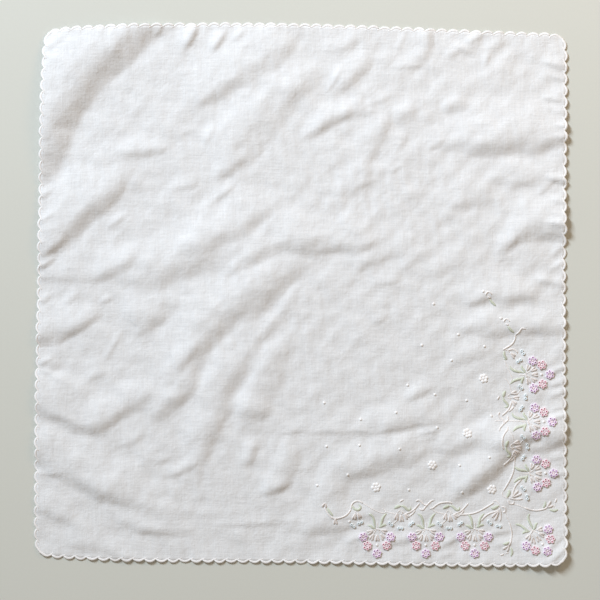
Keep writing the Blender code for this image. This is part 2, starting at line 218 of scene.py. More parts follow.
# Fine creases, which the solid is too coarse for, in the same columns as the folds
CREASES = (
    # Small pleats at the top edge
    Fold(-190, 230, -222, 202, 0, 5, 5, 0.9),
    Fold(-212, 204, -226, 198, 0, 3, 3, 0.8),
    Fold(-116, 231, -124, 218, 0, 4, 3, 1.0),
    Fold(-86, 232, -101, 205, 0, 6, 5, 2.2),
    Fold(-62, 227, -78, 204, 0, 6, 5, 2.0),
    Fold(-46, 226, -60, 214, 0, 4, 4, 1.0),
    Fold(90, 226, 82, 206, 0, 3, 3, 0.6),
    Fold(108, 230, 106, 204, 0, 7, 8, 1.6),
    Fold(158, 222, 138, 213, 0, 4, 4, 0.9),
    # Upper left
    Fold(-102, 126, -164, 120, 0, 7, 7, 1.0),
    Fold(-84, 96, -112, 90, 0, 7, 6, 1.0),
    Fold(-70, 150, -84, 124, 0, 5, 4, 0.9),
    Fold(-94, 144, -106, 130, 0, 5, 5, 0.8),
    Fold(-44, 120, -76, 98, 0, 8, 8, 1.2),
    Fold(-50, 98, -84, 72, 0, 5, 4, 0.8),
    Fold(-146, 70, -168, 54, 0, 4, 4, 0.8),
    # Upper right
    Fold(36, 194, 20, 168, 0, 4, 3, 0.9),
    Fold(112, 210, 90, 188, 0, 8, 7, 1.0),
    Fold(176, 218, 156, 206, 0, 6, 6, 0.8),
    Fold(152, 200, 124, 216, 0, 4, 3, 0.8),
    Fold(140, 212, 120, 200, 0, 5, 5, 0.7),
    Fold(162, 208, 155, 192, 0, 3, 3, 0.7),
    Fold(108, 195, 72, 193, 0, 4, 3, 0.5),
    Fold(78, 170, 54, 160, 0, 5, 5, 0.9),
    Fold(100, 158, 76, 148, 0, 9, 9, 0.9),
    Fold(92, 140, 80, 120, 0, 5, 5, 0.8),
    Fold(66, 100, 48, 90, 0, 3, 3, 0.4),
    Fold(88, 112, 74, 102, 0, 3, 3, 0.7),
    Fold(124, 134, 106, 122, 0, 5, 5, 0.9),
    # Ticks that run in from the right edge
    Fold(228, 192, 202, 199, 0, 5, 4, 1.3),
    Fold(228, 181, 210, 186, 0, 3, 3, 0.8),
    Fold(226, 164, 203, 168, 0, 3, 3, 1.0),
    Fold(228, 153, 204, 160, 0, 3, 3, 0.6),
    Fold(230, 141, 212, 145, 0, 3, 3, 0.9),
    Fold(230, 131, 212, 135, 0, 3, 3, 0.8),
    Fold(232, 95, 205, 100, 0, 4, 4, 1.6),
    Fold(216, 98, 200, 84, 0, 4, 4, 0.9),
    Fold(230, 77, 210, 81, 0, 3, 3, 0.8),
    Fold(230, 67, 210, 70, 0, 3, 3, 0.7),
    Fold(230, 58, 203, 62, 0, 4, 3, 1.2),
    Fold(226, 44, 210, 30, 0, 3, 3, 0.8),
    Fold(226, 30, 208, 18, 0, 3, 3, 0.6),
    Fold(232, 7, 195, 15, 0, 5, 5, 1.2),
    Fold(228, -60, 208, -68, 0, 3, 3, 1.3),
    Fold(226, -73, 210, -78, 0, 3, 3, 1.0),
    Fold(228, -81, 208, -88, 0, 4, 3, 1.2),
    Fold(228, -94, 210, -99, 0, 3, 3, 0.9),
    Fold(228, -101, 208, -106, 0, 3, 3, 1.2),
    Fold(236, -119, 180, -133, 0, 11, 9, 2.2),
    Fold(230, -136, 206, -141, 0, 4, 3, 0.8),
    Fold(230, -150, 210, -154, 0, 3, 3, 0.7),
    Fold(226, -202, 200, -224, 0, 3, 3, 1.0),
    Fold(228, -210, 208, -230, 0, 3, 3, 1.0),
    Fold(218, -196, 188, -210, 0, 3, 3, 0.9),
    # Left edge
    Fold(-196, 52, -226, 28, 0, 6, 6, 1.5),
    Fold(-206, 33, -226, 20, 0, 4, 4, 1.5),
    Fold(-208, 70, -226, 58, 0, 3, 3, 0.8),
    Fold(-208, 92, -224, 80, 0, 4, 4, 0.9),
    Fold(-186, 2, -204, -8, 0, 5, 5, 1.0),
    Fold(-158, -1, -172, -8, 0, 4, 4, 0.9),
    Fold(-210, 1, -224, -8, 0, 4, 4, 1.1),
    Fold(-150, -28, -168, -60, 0, 4, 3, 0.6),
    Fold(-208, -52, -226, -62, 0, 3, 3, 1.0),
    Fold(-196, -76, -224, -61, 0, 4, 4, 1.0),
    Fold(-164, -64, -182, -72, 0, 4, 4, 0.8),
    Fold(-188, -108, -220, -98, 0, 6, 6, 0.9),
    Fold(-200, -152, -228, -152, 0, 5, 4, 0.9),
    # Across the middle
    Fold(-14, -6, 2, 12, 0, 3, 4, 0.6),
    Fold(64, 36, 44, 18, 0, 7, 7, 0.8),
    Fold(88, 14, 56, 8, 0, 5, 5, 0.7),
    Fold(106, 42, 84, 20, 0, 7, 7, 0.8),
    Fold(76, -14, 60, -26, 0, 5, 5, 0.9),
    Fold(-112, -14, -148, -36, 0, 9, 9, 1.4),
    Fold(-84, -34, -104, -64, 0, 6, 6, 0.8),
    Fold(-84, -72, -118, -96, 0, 9, 9, 1.1),
    Fold(116, -76, 86, -90, 0, 6, 6, 1.3),
    Fold(168, 1, 130, -10, 0, 6, 6, 0.8),
    Fold(206, 4, 158, -2, 0, 9, 9, 1.0),
    # Lower left
    Fold(-134, -182, -196, -152, 0, 9, 9, 1.3),
    Fold(-84, -140, -118, -156, 0, 6, 6, 1.3),
    Fold(-130, -118, -160, -130, 0, 6, 6, 0.9),
    Fold(-108, -136, -126, -144, 0, 4, 4, 0.7),
    Fold(-108, -200, -146, -200, 0, 6, 6, 0.9),
    Fold(-4, -158, -40, -170, 0, 6, 6, 1.3),
    Fold(-38, -118, -48, -150, 0, 8, 8, 1.6),
    Fold(10, -193, -90, -196, 0, 4, 3, 0.5),
    # Puckers between the sprays
    Fold(102, -204, 66, -213, 0, 5, 6, 1.4),
    Fold(136, -206, 116, -214, 0, 3, 3, 0.9),
    Fold(134, -219, 112, -224, 0, 3, 3, 0.7),
    Fold(70, -186, 14, -190, 0, 8, 5, 1.0),
    Fold(182, -200, 158, -204, 0, 4, 3, 0.9),
    Fold(184, -210, 160, -214, 0, 4, 3, 0.8),
    Fold(58, -202, 36, -212, 0, 4, 4, 0.9),
    # Lower right, where a crease runs to its end
    Fold(118, -122, 98, -106, 0, 4, 3, 0.7),
    Fold(122, -114, 96, -120, 0, 3, 3, 0.9),
    Fold(118, -120, 98, -124, 0, 3, 3, 0.7),
)

# Ripples all over, of several sizes: how long the waves are, how high, and how many cross each other. Each
# wave's length is stretched by a chance share between the least and the most.
Ripple = namedtuple("Ripple", "wave_length height waves")
RIPPLES = (Ripple(36.0, 0.30, 9), Ripple(20.0, 0.20, 11), Ripple(11.0, 0.09, 13), Ripple(6.5, 0.03, 15))
RIPPLE_SEED = 11
LEAST_STRETCH = 0.75
MOST_STRETCH = 1.35

# Where the cloth is more crumpled than elsewhere, and how much higher its small ripples are there
Crumpled = namedtuple("Crumpled", "x y length_x length_y more")
CRUMPLED = (
    Crumpled(55, 82, 60, 30, 1.1),
    Crumpled(-90, 110, 60, 60, 0.3),
    Crumpled(-40, -20, 60, 40, 0.5),
    Crumpled(-130, -130, 70, 60, 0.4),
    Crumpled(110, 30, 50, 60, 0.4),
)
SMALL_RIPPLE = 15.0

# Puckers that run in from the scallops: how far they reach, how high they are at most, how far they lean, and
# how their strength changes from scallop to scallop and from side to side
PUCKER_REACH = 9.0
PUCKER_HEIGHT = 0.3
PUCKER_LEAN = 0.35
PUCKER_QUICK_WAVE = 1.7
PUCKER_SLOW_WAVE = 0.6
PUCKER_SIDE_SHIFT = 2.3

# The corner that the border is measured from, and how far from it the sprays of flower heads stand along its
# two sides. The right side's line of hubs slants a little inwards.
CORNER_POINT = (226.0, -230.0)
SPRAYS_ALONG_BOTTOM = (78.2, 119.7, 161.1)
SPRAYS_ALONG_RIGHT = (78.3, 122.3, 162.1)
SPRAY_INSET_BOTTOM = 30.6
SPRAY_INSET_RIGHT = 28.4
SLANT_OF_RIGHT = 0.039
CORNER_SPRAY_INSET = 29.0
CORNER_SPRAY_TURN = math.radians(-8.0)

# The five heads of a spray, from its hub: to the side, and outwards to the edge
Head = namedtuple("Head", "side outward thread")
HEADS = (
    Head(-11.6, 6.3, "lilac"),
    Head(-8.1, 13.8, "pink"),
    Head(0.0, 20.3, "lilac"),
    Head(8.1, 13.8, "pink"),
    Head(11.6, 6.3, "lilac"),
)

# The single white florets, by how far each is from the right and from the bottom side
Floret = namedtuple("Floret", "from_right from_bottom")
FLORETS = (
    Floret(63.5, 64.4),
    Floret(114.2, 85.1),
    Floret(84.5, 112.3),
    Floret(161.8, 66.3),
    Floret(70.5, 158.8),
)

# Scattered white dots, by how far each is from the right and from the bottom side
Dot = namedtuple("Dot", "from_right from_bottom")
DOTS = (
    Dot(113, 222),
    Dot(92, 196),
    Dot(123, 187),
    Dot(70, 186),
    Dot(98, 174),
    Dot(135, 153),
    Dot(112, 145),
    Dot(85, 140),
    Dot(206, 138),
    Dot(145, 130),
    Dot(175, 124),
    Dot(64, 127),
    Dot(110, 117),
    Dot(204, 101),
    Dot(176, 102),
    Dot(142, 99),
    Dot(66, 92),
    Dot(91, 85),
    Dot(186, 77),
    Dot(212, 68),
    Dot(134, 64),
    Dot(89, 62),
)

# The cord round the scallops. It starts thin, swells to its middle, and ends in a tail that runs on along the
# edge and inwards. The steps of the tail are shares of its length, half-width and the cord's height.
CORD_HALF_WIDTH = 1.15
CORD_HALF_WIDTH_AT_NOTCH = 0.85
CORD_HEIGHT = 0.66
CORD_INSET = 0.7
CORD_FULLNESS = 0.6
CORD_START = 0.3
CORD_SIDES = 6
CORD_STATIONS = 9
CORNER_CORD_STATIONS = 21
TAIL_LENGTH = 2.4
TAIL_ALONG = 0.78
TAIL_INWARDS = 0.62
TAIL_HALF_WIDTH = 0.55
TailStep = namedtuple("TailStep", "distance width height")
TAIL_STEPS = (TailStep(0.4, 1.1, 0.95), TailStep(0.75, 0.9, 0.9), TailStep(1.0, 0.1, 0.75))

# The flower heads, florets, dots and knots. A ring knot is lifted by a share of its thread's radius, and a
# dome's middle stands at a share of its height.
FLOWER_KNOTS = 6
FLOWER_KNOT_CIRCLE = 2.5
FLOWER_SEED = 5
KNOT_UNEVENNESS = 0.14
KNOT_RADIUS = 0.98
KNOT_THREAD_RADIUS = 0.62
KNOT_TILT = math.radians(8.0)
KNOT_LIFT = 0.25
HEART_RADIUS = 1.3
HEART_HEIGHT = 1.45
FLORET_KNOTS = 6
FLORET_KNOT_CIRCLE = 2.55
FLORET_KNOT_RADIUS = 1.55
FLORET_KNOT_HEIGHT = 0.85
DOT_RADIUS = 1.15
DOT_HEIGHT = 0.8
BLUE_KNOT_RADIUS = 0.85
BLUE_THREAD_RADIUS = 0.62
PAIR_SPACING = 2.7
RING_LIFT = 1.15
RING_SIDES = 6
RING_STEPS = 9
DOME_MIDDLE = 0.35
DOME_SEGMENTS = 8
DOME_RINGS = 6

# A stroke's tube: how far apart its stations are, its sides, the share of its height that is sunk in the
# cloth, and the distance within which its points are welded. A leaf swells from its ends, and a cord or stem
# rounds off over its last stations. Their ends keep at least these shares of the width and height. A tiny
# length guards a division.
STATION_SPACING = 0.8
TUBE_SIDES = 8
TUBE_SINK = 0.35
WELD = 0.004
TINY = 1e-9
LEAF_FULLNESS = 0.45
ROUNDED_STATIONS = 1.6
NARROWEST_END = 0.02
LOWEST_END = 0.3

# A bell flower's legs: their half-width at the head and at the foot, their height, and the shares of their
# length that they start from the head and of their height that they are sunk. They splay outwards, widen
# towards the foot, and round off at both ends.
BELL_NECK = 0.55
BELL_FOOT = 0.98
BELL_HEIGHT = 1.35
LEG_START = 0.04
BELL_SINK = 0.33
BELL_SPLAY = 0.12
BELL_WIDENING = 1.5
BELL_HEAD_START = 0.15
BELL_HEAD_ROUNDING = 6.0
BELL_FOOT_ROUNDING = 5.0
BELL_NARROWEST = 0.001
BELL_LOWEST = 0.4

# The window light comes from the upper left and is turned past the cloth, so that it falls evenly across it.
# A weak warm light stands to the upper right. The camera looks straight down. Lights are placed in metres,
# and the camera and the width that it frames in millimetres.
LIGHT_FROM = (-0.6, 0.8)
LIGHT_ELEVATION = math.radians(38.0)
LIGHT_DISTANCE = 3.0
LIGHT_TURNED_TO = (4.2, 1.9, 0.0)
SIDE_LIGHT_AT = (0.75, 0.80, 0.70)
CAMERA_OVER = (-0.4, -4.7)
FRAMED = 510.0
LENS = 100.0
SENSOR = 36.0

# The table in metres, how far it is below the cloth, and how its paint is clouded and speckled: the changes
# a metre, and the shares that each adds to the shade
TABLE_WIDTH = 4.0
TABLE_DROP = 0.1 * MM
TABLE_CLOUDS = 3.0
TABLE_SPECKLES = 500.0
CLOUD_SHARE = 0.04
SPECKLE_SHARE = 0.03
TABLE_SHADE = 0.965
TABLE_BUMP = 0.02 * MM

# The weave: from one yarn to the next, how uneven the yarns are, and the changes a metre across and up the
# cloth of single yarns, of bands of them and of their grain, with the share of each
YARN_PITCH = 0.42 * MM
YARN_UNEVENNESS = 0.12
WARP_YARN = (1100.0, 70.0, 1.0)
WEFT_YARN = (60.0, 1000.0, 1.0)
WARP_BAND = (420.0, 30.0, 1.0)
WEFT_BAND = (26.0, 400.0, 1.0)
YARN_GRAIN = (1200.0, 1200.0, 1.0)
YARN_SHARE = 1.4
BAND_SHARE = 0.6
GRAIN_SHARE = 1.6
CROSSING_SHARE = 0.35
WEAVE_BUMP = 0.06 * MM

# The crumple of washed linen in two sizes, in changes a metre
COARSE_CRINKLE = 110.0
FINE_CRINKLE = 380.0
FINE_CRINKLE_SHARE = 0.5
CRINKLE_BUMP = 0.5 * MM

# The sewing thread: the pitch of its twist in millimetres, its patches in changes a metre, and where a ring
# knot takes the painted shade of its hollow and is full of it, from 0 on its outside to 0.5 on its inside
TWIST_PITCH = 0.5
TWIST_SHARE = 0.5
THREAD_PATCHES = 900.0
THREAD_SPREAD = 0.22
TWIST_BUMP = 0.06 * MM
HOLLOW_SHADE_FROM = 0.31
HOLLOW_SHADE_FULL = 0.44

# What every finish shares: the roughness of its sheen, and the middle of a noise texture's values
SHEEN_ROUGHNESS = 0.4
NOISE_MIDDLE = 0.5

# The colour sockets of a Mix node, whose names its other sockets share
MIX_FIRST = 6
MIX_SECOND = 7
MIX_RESULT = 2

# A stroke of thread: its kind, and its points as pairs. A pointed kind swells from its ends, and any other is
# even with round ends. Along a side, a point's first number is the distance from the spray's hub, or from the
# middle between two hubs, away from the corner, and its second is the distance inwards from the line of hubs.
Kind = namedtuple("Kind", "half_width height pointed")
KINDS = {
    "cord": Kind(0.66, 0.95, False),
    "stem": Kind(0.40, 0.45, False),
    "leaf": Kind(1.35, 1.25, True),
    "slim leaf": Kind(1.10, 1.15, True),
}
Stroke = namedtuple("Stroke", "kind points")

# A bell flower: its head, and the tips of its two legs
Bell = namedtuple("Bell", "head first_tip second_tip")

# A pair of blue ring knots: the middle between them, and how the pair leans, in degrees
Pair = namedtuple("Pair", "along inward lean")

# A part of the border
Part = namedtuple("Part", "strokes leaves bells pairs dots", defaults=((), (), (), (), ()))

# One spray, whose points are from its hub: to the side, and outwards to the edge
SPRAY = Part(
    strokes=(
        Stroke("cord", ((0.8, -0.8), (-0.8, 0.0), (-3.0, 0.9))),
        Stroke("stem", ((-0.6, -0.4), (-0.5, -3.0), (-0.3, -6.0))),
        Stroke("stem", ((0.0, 0.0), (1.8, 0.5), (3.4, 1.2))),
        Stroke("stem", ((-0.6, 0.2), (-1.8, 1.8), (-3.0, 3.9))),
        Stroke("stem", ((0.4, 0.2), (1.6, 2.0), (2.9, 4.1))),
    ),
    leaves=(
        Stroke(
            "slim leaf",
            ((1.2, -1.4), (2.1, -4.3), (2.5, -7.2), (3.5, -10.2), (5.2, -12.4), (7.4, -13.0)),
        ),
        Stroke(
            "slim leaf",
            ((-1.6, -1.2), (-3.3, -3.2), (-4.1, -6.6), (-5.0, -9.6), (-6.5, -11.8), (-8.4, -13.6)),
        ),
        Stroke("slim leaf", ((0.8, -0.4), (3.6, -1.4), (5.4, -2.9), (8.0, -3.2))),
        Stroke("slim leaf", ((-2.4, -1.4), (-4.2, -2.9), (-6.0, -3.7), (-8.2, -3.4))),
    ),
    bells=(
        Bell((-3.0, 0.7), (-8.9, 1.3), (-7.6, 3.9)),
        Bell((-3.0, 3.9), (-6.9, 7.6), (-5.3, 9.8)),
        Bell((0.0, 4.6), (-1.5, 10.4), (1.0, 10.4)),
        Bell((2.9, 4.1), (4.6, 10.0), (6.5, 8.4)),
        Bell((3.4, 1.2), (8.8, 2.0), (7.7, 4.4)),
    ),
    dots=((0.0, 13.4),),
)

# What stands between two sprays on both sides, from the middle between their hubs
BAY = Part(
    strokes=(
        Stroke("stem", ((2.0, 8.2), (4.6, 6.6), (6.8, 4.6))),
        Stroke("stem", ((3.5, 13.6), (2.2, 15.4), (0.4, 16.0))),
        Stroke("stem", ((0.3, 12.0), (-0.6, 14.2), (0.4, 16.0), (-2.5, 13.0))),
        Stroke("stem", ((4.6, 13.0), (9.0, 13.8), (12.6, 15.0), (16.6, 17.8))),
        Stroke("cord", ((-3.1, 12.8), (-8.2, 14.9), (-11.3, 17.2), (-14.2, 20.6), (-15.4, 22.0))),
        Stroke("cord", ((-6.9, 11.0), (-9.8, 13.4), (-11.8, 16.4))),
    ),
    leaves=(
        Stroke("leaf", ((6.0, 17.2), (4.6, 18.6), (2.4, 19.4), (0.4, 19.8))),
        Stroke(
            "slim leaf",
            ((0.8, 19.8), (-2.0, 19.4), (-4.2, 17.4), (-6.2, 16.2), (-7.8, 17.2), (-7.7, 19.4)),
        ),
    ),
    bells=(
        Bell((3.5, 13.6), (5.9, 8.4), (3.6, 7.4)),
        Bell((0.3, 12.0), (0.9, 6.2), (-1.5, 6.4)),
        Bell((-2.5, 13.0), (-5.2, 8.2), (-7.0, 10.0)),
    ),
    pairs=(Pair(9.0, 4.8, 45), Pair(0.8, 1.0, 0), Pair(-8.8, 4.8, -35)),
)

# The tendrils that only the outer bay of each side has, and the long one that runs from the inner bay on to
# the corner
OUTER_TENDRILS = (
    Stroke("cord", ((1.4, 22.8), (0.0, 24.2), (-2.0, 25.0))),
    Stroke("cord", ((-12.0, 23.4), (-15.0, 24.7), (-19.0, 21.0), (-22.6, 20.6))),
    Stroke("cord", ((-15.0, 17.2), (-18.4, 16.6), (-20.6, 19.2), (-25.4, 24.0), (-28.2, 24.6))),
    Stroke(
        "cord", ((-23.9, 17.4), (-27.0, 18.2), (-29.6, 20.4), (-33.7, 22.4), (-40.5, 23.0), (-43.4, 21.6))
    ),
)
INNER_TENDRIL = Stroke(
    "cord", ((-5.6, 13.0), (-9.6, 12.4), (-16.4, 12.9), (-22.0, 14.2), (-28.8, 17.6), (-37.3, 22.8))
)
OUTER_BAY = BAY._replace(strokes=BAY.strokes + OUTER_TENDRILS)
INNER_BAY = BAY._replace(strokes=BAY.strokes + (INNER_TENDRIL,))

# A long straight thread that runs inwards from the middle spray of the right side
LONG_THREAD = Stroke("stem", ((0.4, 1.0), (0.4, 14.0), (0.6, 28.0)))

# The outer end of the bottom side, from its last hub
BOTTOM_END = Part(
    strokes=(
        Stroke(
            "cord",
            ((44.4, 19.0), (42.6, 14.6), (39.4, 10.8), (36.0, 9.4), (31.0, 10.0), (25.9, 12.4), (21.9, 17.0)),
        ),
        Stroke("cord", ((21.9, 17.0), (21.5, 20.6), (19.2, 23.2), (15.6, 23.8), (11.6, 22.0))),
        Stroke("stem", ((11.6, 22.0), (7.4, 19.4), (3.0, 16.8), (-3.0, 14.2), (-7.6, 13.8))),
        Stroke("stem", ((18.4, 13.8), (17.8, 16.2), (16.6, 14.2))),
    ),
    leaves=(
        Stroke("slim leaf", ((42.4, 18.6), (40.4, 15.2), (37.2, 11.4))),
        Stroke("slim leaf", ((21.2, 20.4), (19.2, 17.4), (15.9, 16.6), (13.8, 18.8), (15.8, 21.4))),
    ),
    bells=(
        Bell((18.4, 13.8), (21.0, 8.4), (18.8, 8.0)),
        Bell((16.6, 14.2), (13.2, 9.8), (15.0, 8.6)),
        Bell((44.0, 22.6), (46.8, 19.0), (43.4, 18.2)),
        Bell((35.4, 9.4), (36.6, 4.4), (34.2, 4.2)),
    ),
    pairs=(Pair(20.4, 3.0, 40), Pair(14.2, 5.4, -20)),
    dots=((23.4, 6.6),),
)

# The outer end of the right side, which has no curl
RIGHT_END = Part(
    strokes=(
        Stroke("cord", ((33.8, 7.6), (29.8, 8.1), (25.6, 10.9), (21.9, 16.8), (20.8, 19.0))),
        Stroke("cord", ((33.4, 7.8), (35.9, 4.6), (39.2, 2.0), (38.3, -1.2))),
        Stroke("cord", ((20.4, 14.6), (21.3, 9.9), (18.2, 5.7))),
        Stroke("stem", ((20.8, 17.6), (20.4, 14.6), (18.4, 12.6))),
        Stroke("stem", ((12.2, 17.8), (4.6, 15.0), (-3.0, 12.0), (-7.6, 13.4))),
    ),
    leaves=(Stroke("slim leaf", ((20.1, 17.3), (16.2, 17.6), (13.4, 16.0), (12.9, 18.3))),),
    bells=(Bell((18.4, 12.6), (15.6, 7.8), (13.2, 9.0)),),
    pairs=(Pair(18.8, 1.8, 30), Pair(11.6, 5.0, -60)),
)

# A small sprig past the right side's end, which stands again by itself so much further along and inwards
SPRIG = Part(
    strokes=(
        Stroke("cord", ((44.2, 17.4), (46.6, 16.2), (47.0, 14.0), (44.6, 11.8))),
        Stroke("cord", ((43.4, 15.8), (42.2, 14.4), (42.6, 12.8))),
    ),
    leaves=(Stroke("slim leaf", ((41.0, 14.0), (38.0, 11.6), (35.2, 8.6))),),
    dots=((47.8, 19.3),),
)
LOOSE_SPRIG_AWAY = (22.9, 14.4)

# Near the corner, from the corner itself along the side
CORNER = Part(
    strokes=(
        Stroke("cord", ((73.0, 7.0), (69.0, 11.2), (64.6, 13.8), (60.4, 15.0), (57.6, 16.2))),
        Stroke("cord", ((57.2, 18.2), (56.2, 14.6), (56.0, 10.4), (56.6, 6.6))),
        Stroke("cord", ((55.6, 19.0), (52.6, 18.4), (52.2, 15.0), (54.8, 14.4))),
        Stroke("stem", ((62.6, 23.4), (60.2, 24.2), (58.0, 22.2), (56.8, 18.6))),
        Stroke("stem", ((52.2, 18.3), (51.4, 12.0), (48.9, 5.6), (47.6, 1.6))),
        Stroke("cord", ((48.9, 5.6), (47.2, 0.4), (46.6, -4.4), (47.4, -9.8), (49.2, -14.2))),
        Stroke("stem", ((48.6, -19.6), (52.8, -20.6))),
        Stroke("cord", ((53.2, -20.8), (56.6, -22.2))),
    ),
    leaves=(
        Stroke("leaf", ((64.2, 18.6), (62.0, 17.8), (57.4, 20.2))),
        Stroke("slim leaf", ((54.4, -12.2), (51.8, -12.2), (48.6, -10.4))),
        Stroke("slim leaf", ((47.4, -15.2), (46.4, -19.4), (47.6, -23.0))),
    ),
    bells=(
        Bell((57.6, 15.6), (63.8, 10.0), (61.2, 7.2)),
        Bell((49.2, -13.8), (54.6, -17.2), (50.9, -19.0)),
    ),
    pairs=(Pair(65.4, 6.0, 45), Pair(57.8, 2.8, 10)),
)


class ClothSettings(bpy.types.PropertyGroup):
    thickness: FloatProperty(
        name="Thickness", description="Thickness of the sheet", default=0.45 * MM, min=0.0001, unit="LENGTH"
    )
    linen: FloatVectorProperty(
        name="Linen", description="Colour of the bleached linen", default=(0.830, 0.838, 0.846, 1.0),
        size=4, subtype="COLOR", min=0.0, max=1.0,
    )
    yarn_pitch: FloatProperty(
        name="Yarn pitch", description="From one yarn of the weave to the next", default=YARN_PITCH,
        unit="LENGTH",
    )


class ThreadSettings(bpy.types.PropertyGroup):
    white: FloatVectorProperty(
        name="White", description="Colour of the white thread", default=(0.98, 0.965, 0.96, 1.0),
        size=4, subtype="COLOR", min=0.0, max=1.0,
    )
    bell: FloatVectorProperty(
        name="Bell flowers", description="Colour of the bell flowers", default=(0.86, 0.81, 0.785, 1.0),
        size=4, subtype="COLOR", min=0.0, max=1.0,
    )
    lilac: FloatVectorProperty(
        name="Lilac", description="Colour of the lilac thread", default=(1.0, 0.88, 1.0, 1.0),
        size=4, subtype="COLOR", min=0.0, max=1.0,
    )
    # The painted shade inside the lilac ring knots: a darker colour on the inner side of each ring, where its
    # hollow is shaded
    lilac_hollow_shade: FloatVectorProperty(
        name="Lilac hearts", description="Colour inside the lilac knots", default=(0.66, 0.26, 0.74, 1.0),
        size=4, subtype="COLOR", min=0.0, max=1.0,
    )
    pink: FloatVectorProperty(
        name="Pink", description="Colour of the pink thread", default=(1.0, 0.84, 0.89, 1.0),
        size=4, subtype="COLOR", min=0.0, max=1.0,
    )
    # The painted shade inside the pink ring knots: a darker colour on the inner side of each ring, where its
    # hollow is shaded
    pink_hollow_shade: FloatVectorProperty(
        name="Pink hearts", description="Colour inside the pink knots", default=(0.96, 0.26, 0.42, 1.0),
        size=4, subtype="COLOR", min=0.0, max=1.0,
    )
    stem: FloatVectorProperty(
        name="Stems", description="Colour of the stems and tendrils", default=(0.93, 0.89, 0.87, 1.0),
        size=4, subtype="COLOR", min=0.0, max=1.0,
    )
    flower_heart: FloatVectorProperty(
        name="Flower hearts", description="Colour in the middle of each flower head",
        default=(0.95, 0.80, 0.86, 1.0), size=4, subtype="COLOR", min=0.0, max=1.0,
    )
    leaf: FloatVectorProperty(
        name="Leaf", description="Colour of the leaves", default=(0.68, 0.725, 0.60, 1.0),
        size=4, subtype="COLOR", min=0.0, max=1.0,
    )
    blue: FloatVectorProperty(
        name="Blue", description="Colour of the pale blue knots", default=(0.90, 0.96, 0.98, 1.0),
        size=4, subtype="COLOR", min=0.0, max=1.0,
    )
    # The painted shade inside the blue ring knots: a darker colour on the inner side of each ring, where its
    # hollow is shaded
    blue_hollow_shade: FloatVectorProperty(
        name="Blue hearts", description="Colour inside the blue knots", default=(0.62, 0.78, 0.86, 1.0),
        size=4, subtype="COLOR", min=0.0, max=1.0,
    )


class StageSettings(bpy.types.PropertyGroup):
    floor: FloatVectorProperty(
        name="Floor", description="Colour of the table", default=(0.692, 0.70, 0.638, 1.0),
        size=4, subtype="COLOR", min=0.0, max=1.0,
    )
    key_power: FloatProperty(
        name="Key power", description="Power of the window light", default=148.3, unit="POWER"
    )
    key_width: FloatProperty(
        name="Key width", description="Width of the window light", default=0.5, unit="LENGTH"
    )
    key_height: FloatProperty(
        name="Key height", description="Height of the window light", default=1.15, unit="LENGTH"
    )
    key_colour: FloatVectorProperty(
        name="Key colour", description="Colour of the window light", default=(0.785, 0.888, 1.0),
        size=3, subtype="COLOR", min=0.0, max=1.0,
    )
    side_power: FloatProperty(
        name="Side power", description="Power of the side light", default=2.5, unit="POWER"
    )
    side_size: FloatProperty(
        name="Side size", description="Side of the side light", default=0.5, unit="LENGTH"
    )
    side_colour: FloatVectorProperty(
        name="Side colour", description="Colour of the side light", default=(1.0, 0.64, 0.32),
        size=3, subtype="COLOR", min=0.0, max=1.0,
    )
    fill: FloatProperty(
        name="Fill", description="Strength of the light from all round", default=0.305, min=0.0
    )
    fill_colour: FloatVectorProperty(
        name="Fill colour", description="Colour of the light from all round", default=(1.0, 0.857, 0.708),
        size=3, subtype="COLOR", min=0.0, max=1.0,
    )


def smooth_step(t):
    t = np.clip(t, 0.0, 1.0)
    return t * t * (3.0 - 2.0 * t)


def bow_at(bow, t):
    """The outward bow at t, on the quartic that is 0 at both corners and takes the bow's three values."""
    stations = (0.25, 0.5, 0.75)
    total = np.zeros_like(t)
    for station, value in zip(stations, bow):
        others = [s for s in (0.0, *stations, 1.0) if s != station]
        top = math.prod(station - s for s in others)
        term = np.ones_like(t)
        for other in others:
            term = term * (t - other)
        total += value * term / top
    return total


def lay_out(u, v):
    """The place on the cloth of each point of a unit square."""
    along_bottom = np.outer(1.0 - u, BOTTOM_LEFT) + np.outer(u, BOTTOM_RIGHT)
    along_top = np.outer(1.0 - u, TOP_LEFT) + np.outer(u, TOP_RIGHT)
    place = along_bottom * (1.0 - v)[:, None] + along_top * v[:, None]
    place[:, 0] += u * bow_at(RIGHT_BOW, v) - (1.0 - u) * bow_at(LEFT_BOW, v)
    place[:, 1] += v * bow_at(TOP_BOW, u) - (1.0 - v) * bow_at(BOTTOM_BOW, u)
    return place


def scallop_bulge(along):
    """How far the edge stands out at a place along a side, counted in scallops from one corner."""
    from_corner = np.minimum(along, SIDE - along)
    reach = np.clip((CORNER_WIDTH - from_corner) / CORNER_WIDTH, 0.0, 1.0)
    corner_bulge = CORNER_OVERHANG * np.sin(0.5 * math.pi * reach) + CORNER_SWELL * np.sin(math.pi * reach)
    number, phase = np.divmod(along - CORNER_WIDTH, 1.0)
    arc = 1.0 - (2.0 * phase - 1.0) ** 2
    waves = np.sin(QUICK_WAVE_PER_SCALLOP * number) * np.cos(SLOW_WAVE_PER_SCALLOP * number)
    arc = arc * (1.0 + SCALLOP_UNEVENNESS * waves)
    return SCALLOP_DEPTH * np.where(from_corner < CORNER_WIDTH, corner_bulge, arc)


def round_corner(toward_x, toward_y):
    """Rounds the corner of a unit square at (1, 1) and leaves its two inner sides where they are."""
    rounded_x = toward_x * np.sqrt(1.0 - 0.5 * CORNER_ROUNDING * toward_y**2)
    rounded_y = toward_y * np.sqrt(1.0 - 0.5 * CORNER_ROUNDING * toward_x**2)
    return rounded_x, rounded_y


